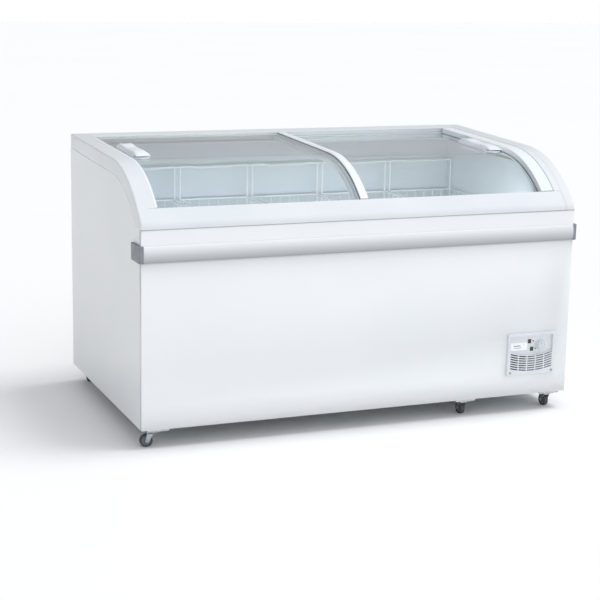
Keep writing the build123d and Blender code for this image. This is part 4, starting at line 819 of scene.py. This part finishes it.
# dial marks round the knob and the lamps' small sensors, printed or set in the recess floor
recess_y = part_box("control_label")[1].y
marks = []
for mark in np.radians(np.arange(-30, 211, 24)):
    centre = (knob_x + 19.6 * MM * math.cos(mark), recess_y + 0.1 * MM,
              knob_z + 19.6 * MM * math.sin(mark))
    marks.append(slab(centre, (3.4 * MM, 0.25 * MM, 1.1 * MM), mark))
for lamp in ("red_lamp", "green_lamp"):
    lamp_low, lamp_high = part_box(lamp)
    centre = ((lamp_low.x + lamp_high.x) / 2 + 14.5 * MM, recess_y + 0.1 * MM,
              (lamp_low.z + lamp_high.z) / 2)
    marks.append(slab(centre, (4.5 * MM, 0.5 * MM, 4.5 * MM)))
dial = make_piece("dial_marks", marks, pointer_grey)
fit(dial, "cabinet")

# printed bars on the label plate, in place of its text
label_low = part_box("control_label")[0]
bars = [slab((label_low.x + x * MM, label_low.y, label_low.z + z * MM),
             (width * MM, 0.12 * MM, height * MM))
        for x, z, width, height in ((24, 15, 26, 3.4), (27, 8, 30, 1.6))]
print_grey = coated("light_grey_print", "8d949a", "858c92", patch=0.005, grain=0.5, depth=0.01,
                    rough=(0.4, 0.5))
fit(make_piece("label_bars", bars, print_grey), "cabinet")

# screws: domed heads of plated steel with a cross recess, from a polar grid whose height is
# a dome less the depth of the cross
screw_steel = coated("plated_screw_steel", "a9adb1", "979ba0", patch=0.01, rough=(0.28, 0.36),
                     Metallic=1.0)
screw_low, screw_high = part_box("panel_screws")
HEAD_R = 4 * MM
spoke = np.linspace(0, 2 * math.pi, 48, endpoint=False)
ring_r = np.array([0.02, 0.12, 0.2, 0.3, 0.42, 0.5, 0.56, 0.7, 0.85, 0.95, 1.0, 1.0]) * HEAD_R
heads = []
px, pz = ring_r[:, None] * np.cos(spoke), ring_r[:, None] * np.sin(spoke)
dome = 1.2 * MM * np.sqrt(np.maximum(1 - (ring_r / HEAD_R) ** 2 * 0.8, 0))[:, None]
cross = (np.minimum(np.abs(px), np.abs(pz)) < 0.5 * MM) & (np.hypot(px, pz) < 0.55 * HEAD_R)
lift = np.where(cross, dome - 0.8 * MM, dome)
lift[-1] = 0
for head_x in (screw_low.x + HEAD_R, screw_high.x - HEAD_R):
    head_z = (screw_low.z + screw_high.z) / 2
    grid = np.stack([head_x + px, screw_low.y + 1.2 * MM - lift, head_z + pz], -1)
    heads.append(loft(grid))
fit(make_piece("panel_screw_heads", heads, screw_steel), "cabinet", ["panel_screws"])

# ---- machinery bay ---------------------------------------
# Behind the control panel sit a hermetic compressor, a finned condenser and its fan. They
# show only through the slots of the two grilles.
compressor_paint = coated("black_compressor_paint", "1c1d1f", "26282a", patch=0.05, grain=1.2,
                          depth=0.08, rough=(0.3, 0.42))
dress(compressor_paint, "compressor")

# ---- casters ---------------------------------------------
# Six small swivel casters are bolted to three steel channels. The forks are stamped from
# zinc-plated steel and the wheels are grey polyamide with a darker tread. The one at the
# front left stands turned to the left, its wheel beside its pin.
zinc_plate = coated("zinc_plated_steel", "b4b9bd", "a1a7ac", patch=0.02, grain=1,
                    rough=(0.3, 0.42), Metallic=1.0)
dress(zinc_plate, "caster_plates")
tread = coated("dark_grey_tread", "3a3d40", "45484b", patch=0.015, depth=0.05,
               rough=(0.5, 0.62))
polyamide = coated("grey_polyamide", "6c7176", "626a6e", patch=0.02, depth=0.04,
                   rough=(0.36, 0.46))


def turned_ring(profile, centre, sides=40):
    """Solid turned about an axis along x through centre, from a closed profile of
    (x, radius)."""
    angle = np.linspace(0, 2 * math.pi, sides, endpoint=False)[:, None]
    points = np.stack([np.broadcast_to(centre[0] + profile[:, 0], (sides, len(profile))),
                       centre[1] + profile[:, 1] * np.cos(angle),
                       centre[2] + profile[:, 1] * np.sin(angle)], -1)
    return points, closed_faces(sides, len(profile))


def stamped(x, outline):
    """Flat stamping between two values of x from an outline (y, z)."""
    return loft(np.stack([in_plane(side, outline) for side in x]))


TRAIL = 14 * MM
wheel_profile = rounded(np.array([(-5.5, 3.2), (-5.5, 15), (5.5, 15), (5.5, 3.2)]) * MM, 0.5 * MM)
hub_profile = rounded(np.array([(-8, 3.2), (-8, 7), (-5.5, 8), (5.5, 8), (8, 7), (8, 3.2)]) * MM,
                      0.4 * MM)
tread_profile = np.array([(-8, 15), (-8, 20), (8, 20), (8, 15), (5.6, 14.6), (-5.6, 14.6)]) * MM
tread_profile = rounded(tread_profile, np.array([0.6, 3, 3, 0.6, 0.4, 0.4]) * MM, steps=5)
for name in (f"{end}_{side}" for end in ("front", "rear") for side in ("left", "middle", "right")):
    wheel_low, wheel_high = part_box(f"{name}_wheel")
    centre = (wheel_low + wheel_high) / 2
    to_left = wheel_high.x - wheel_low.x > wheel_high.y - wheel_low.y
    swivel = centre + Vector((TRAIL, 0, 0) if to_left else (0, -TRAIL, 0))
    hub = swivel + Vector((0, TRAIL, 0))
    tyre = make_piece(f"{name}_tread", [turned_ring(tread_profile, hub)], tread)
    fit(tyre, f"{name}_wheel", [f"{name}_wheel"])
    turned_parts = [turned_ring(profile, hub) for profile in (wheel_profile, hub_profile)]
    disc = make_piece(f"{name}_hub", turned_parts, polyamide)
    fit(disc, f"{name}_wheel")
    fork_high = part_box(f"{name}_fork")[1]
    crown = fork_high.z - 5.5 * MM
    leg_top = crown + 2.5 * MM
    leg = [(swivel[1] - 8 * MM, leg_top), (swivel[1] + 13 * MM, leg_top),
           (hub[1] + 6 * MM, hub[2]), (hub[1] + 2 * MM, hub[2] - 6 * MM),
           (hub[1] - 5 * MM, hub[2] - 5 * MM)]
    leg = rounded(leg, np.array([1, 2, 3, 2.5, 2.5]) * MM)
    parts = [stamped((hub[0] + sign * 9.6 * MM, hub[0] + sign * 11.4 * MM), leg)
             for sign in (-1, 1)]
    top = rounded(rectangle((hub[0] - 11.4 * MM, hub[0] + 11.4 * MM),
                            (swivel[1] - 11 * MM, swivel[1] + 13 * MM)), 3 * MM)
    parts.append(loft(np.stack([np.column_stack([top, np.full(len(top), z)])
                                for z in (crown + 0.1 * MM, crown + 2.4 * MM)])))
    circle = np.linspace(0, 2 * math.pi, 32, endpoint=False)
    race = np.stack([np.column_stack([hub[0] + r * np.cos(circle), swivel[1] + r * np.sin(circle),
                                      np.full(32, z)])
                     for r, z in ((9 * MM, crown + 2.3 * MM), (11 * MM, crown + 3.2 * MM),
                                  (11 * MM, crown + 4.6 * MM), (9.5 * MM, fork_high.z))])
    parts.append(loft(race))
    axle = np.array([(-13, 0.05), (-13, 3.4), (-11.5, 4.4), (-11.4, 2.9), (11.4, 2.9), (11.5, 4.4),
                     (13, 3.4), (13, 0.05)]) * MM
    parts.append(turned_ring(axle, hub, 24))
    fork = make_piece(f"{name}_fork_stamping", parts, zinc_plate)
    fit(fork, f"{name}_fork", [f"{name}_fork"])
    if to_left:
        about_pin = Matrix.Translation(swivel) @ Matrix.Rotation(math.pi / 2, 4, "Z")
        for made in (tyre, disc, fork):
            made.data.transform(about_pin @ Matrix.Translation(-swivel))

# ---- studio ----------------------------------------------
# A pale seamless floor, a bright surround that is dimmer behind and on the left, and a very
# broad sun over the right shoulder, so that the front is bright, the left side soft grey, and
# the shadow falls to the left.
REACH = 30.0  # half the floor's side
SURROUND, SURROUND_SLANT = 0.76, (0.2, -0.42, 0.0)  # mean strength; growth along x, y, z
SUN_STRENGTH, SUN_WIDTH, SUN_WAY = 1.3, math.radians(26), (-0.4, 0.06, -0.9)
FILL_WATTS, FILL_LENGTH, FILL_HEIGHT = 3.2, 1.25, 0.05
FILL_PLACE, FILL_WAY = (0.0, -0.30, 0.66), (0.0, 1.0, -0.25)
floor_material = coated("pale_studio_floor", "f7f7f7", "f5f5f5", patch=2.0, grain=50,
                        depth=0.01, rough=(0.7, 0.8))
floor_mesh = bpy.data.meshes.new("studio_floor")
floor_corners = [(*corner, 0) for corner in rectangle((-REACH, REACH), (-REACH, REACH))]
floor_mesh.from_pydata(floor_corners, [], [(0, 1, 2, 3)])
floor_mesh.materials.append(floor_material)
studio_floor = put("studio_floor", floor_mesh)

world = bpy.data.worlds.new("studio")
bpy.context.scene.world = world
world.use_nodes = True
world.node_tree.nodes.clear()
direction = add(world, "TexCoord").outputs["Generated"]
slant = add(world, "VectorMath", {0: direction, 1: SURROUND_SLANT}, operation="DOT_PRODUCT")
strength = add(world, "Math", {0: SURROUND, 1: slant.outputs["Value"]}, operation="ADD")
soft = add(world, "Background", {"Color": linear("fafcff"), "Strength": strength.outputs[0]})
white = add(world, "Background", {"Color": (1, 1, 1, 1), "Strength": 1.0})
rays = add(world, "LightPath")
seen = add(world, "MixShader", {0: rays.outputs["Is Camera Ray"], 1: soft.outputs[0],
                                2: white.outputs[0]})
add(world, "OutputWorld", {"Surface": seen.outputs[0]})

# sun: 26 degrees across, so its shadows are soft; the glass doesn't mirror it
sun_data = bpy.data.lights.new("broad_sun", "SUN")
sun_data.energy, sun_data.angle = SUN_STRENGTH, SUN_WIDTH
sun = put("broad_sun", sun_data)
sun.rotation_euler = Vector(SUN_WAY).to_track_quat("-Z", "Y").to_euler()
sun.visible_glossy = False
sun.visible_transmission = False

# fill: a long strip just behind the front beam that lights the tub's rear wall and the baskets,
# which the sun hardly reaches; nothing mirrors it and no camera sees it
fill_data = bpy.data.lights.new("tub_fill", "AREA")
fill_data.shape, fill_data.size, fill_data.size_y = "RECTANGLE", FILL_LENGTH, FILL_HEIGHT
fill_data.energy = FILL_WATTS
fill = put("tub_fill", fill_data)
fill.location = FILL_PLACE
fill.rotation_euler = Vector(FILL_WAY).to_track_quat("-Z", "Y").to_euler()
fill.visible_camera = fill.visible_glossy = fill.visible_transmission = False

# camera: a long lens from the front left, a little above the lids
camera_data = bpy.data.cameras.new("shop_view")
camera_data.lens = 93.06
camera_data.sensor_width = 36
camera_data.clip_end = 100
camera = put("shop_view", camera_data)
yaw, pitch, roll = math.radians(22.21), math.radians(12.37), math.radians(1.09)
level = math.cos(pitch)
forward = Vector((math.sin(yaw) * level, math.cos(yaw) * level, -math.sin(pitch)))
right = Vector((math.cos(yaw), -math.sin(yaw), 0))
upward = right.cross(forward)
across = right * math.cos(roll) + upward * math.sin(roll)
up = upward * math.cos(roll) - right * math.sin(roll)
turned = Matrix((across, up, -forward)).transposed().to_4x4()
camera.matrix_world = Matrix.Translation((-2.003, -4.761, 1.463)) @ turned
bpy.context.scene.camera = camera
bpy.context.scene.view_settings.view_transform = "Standard"
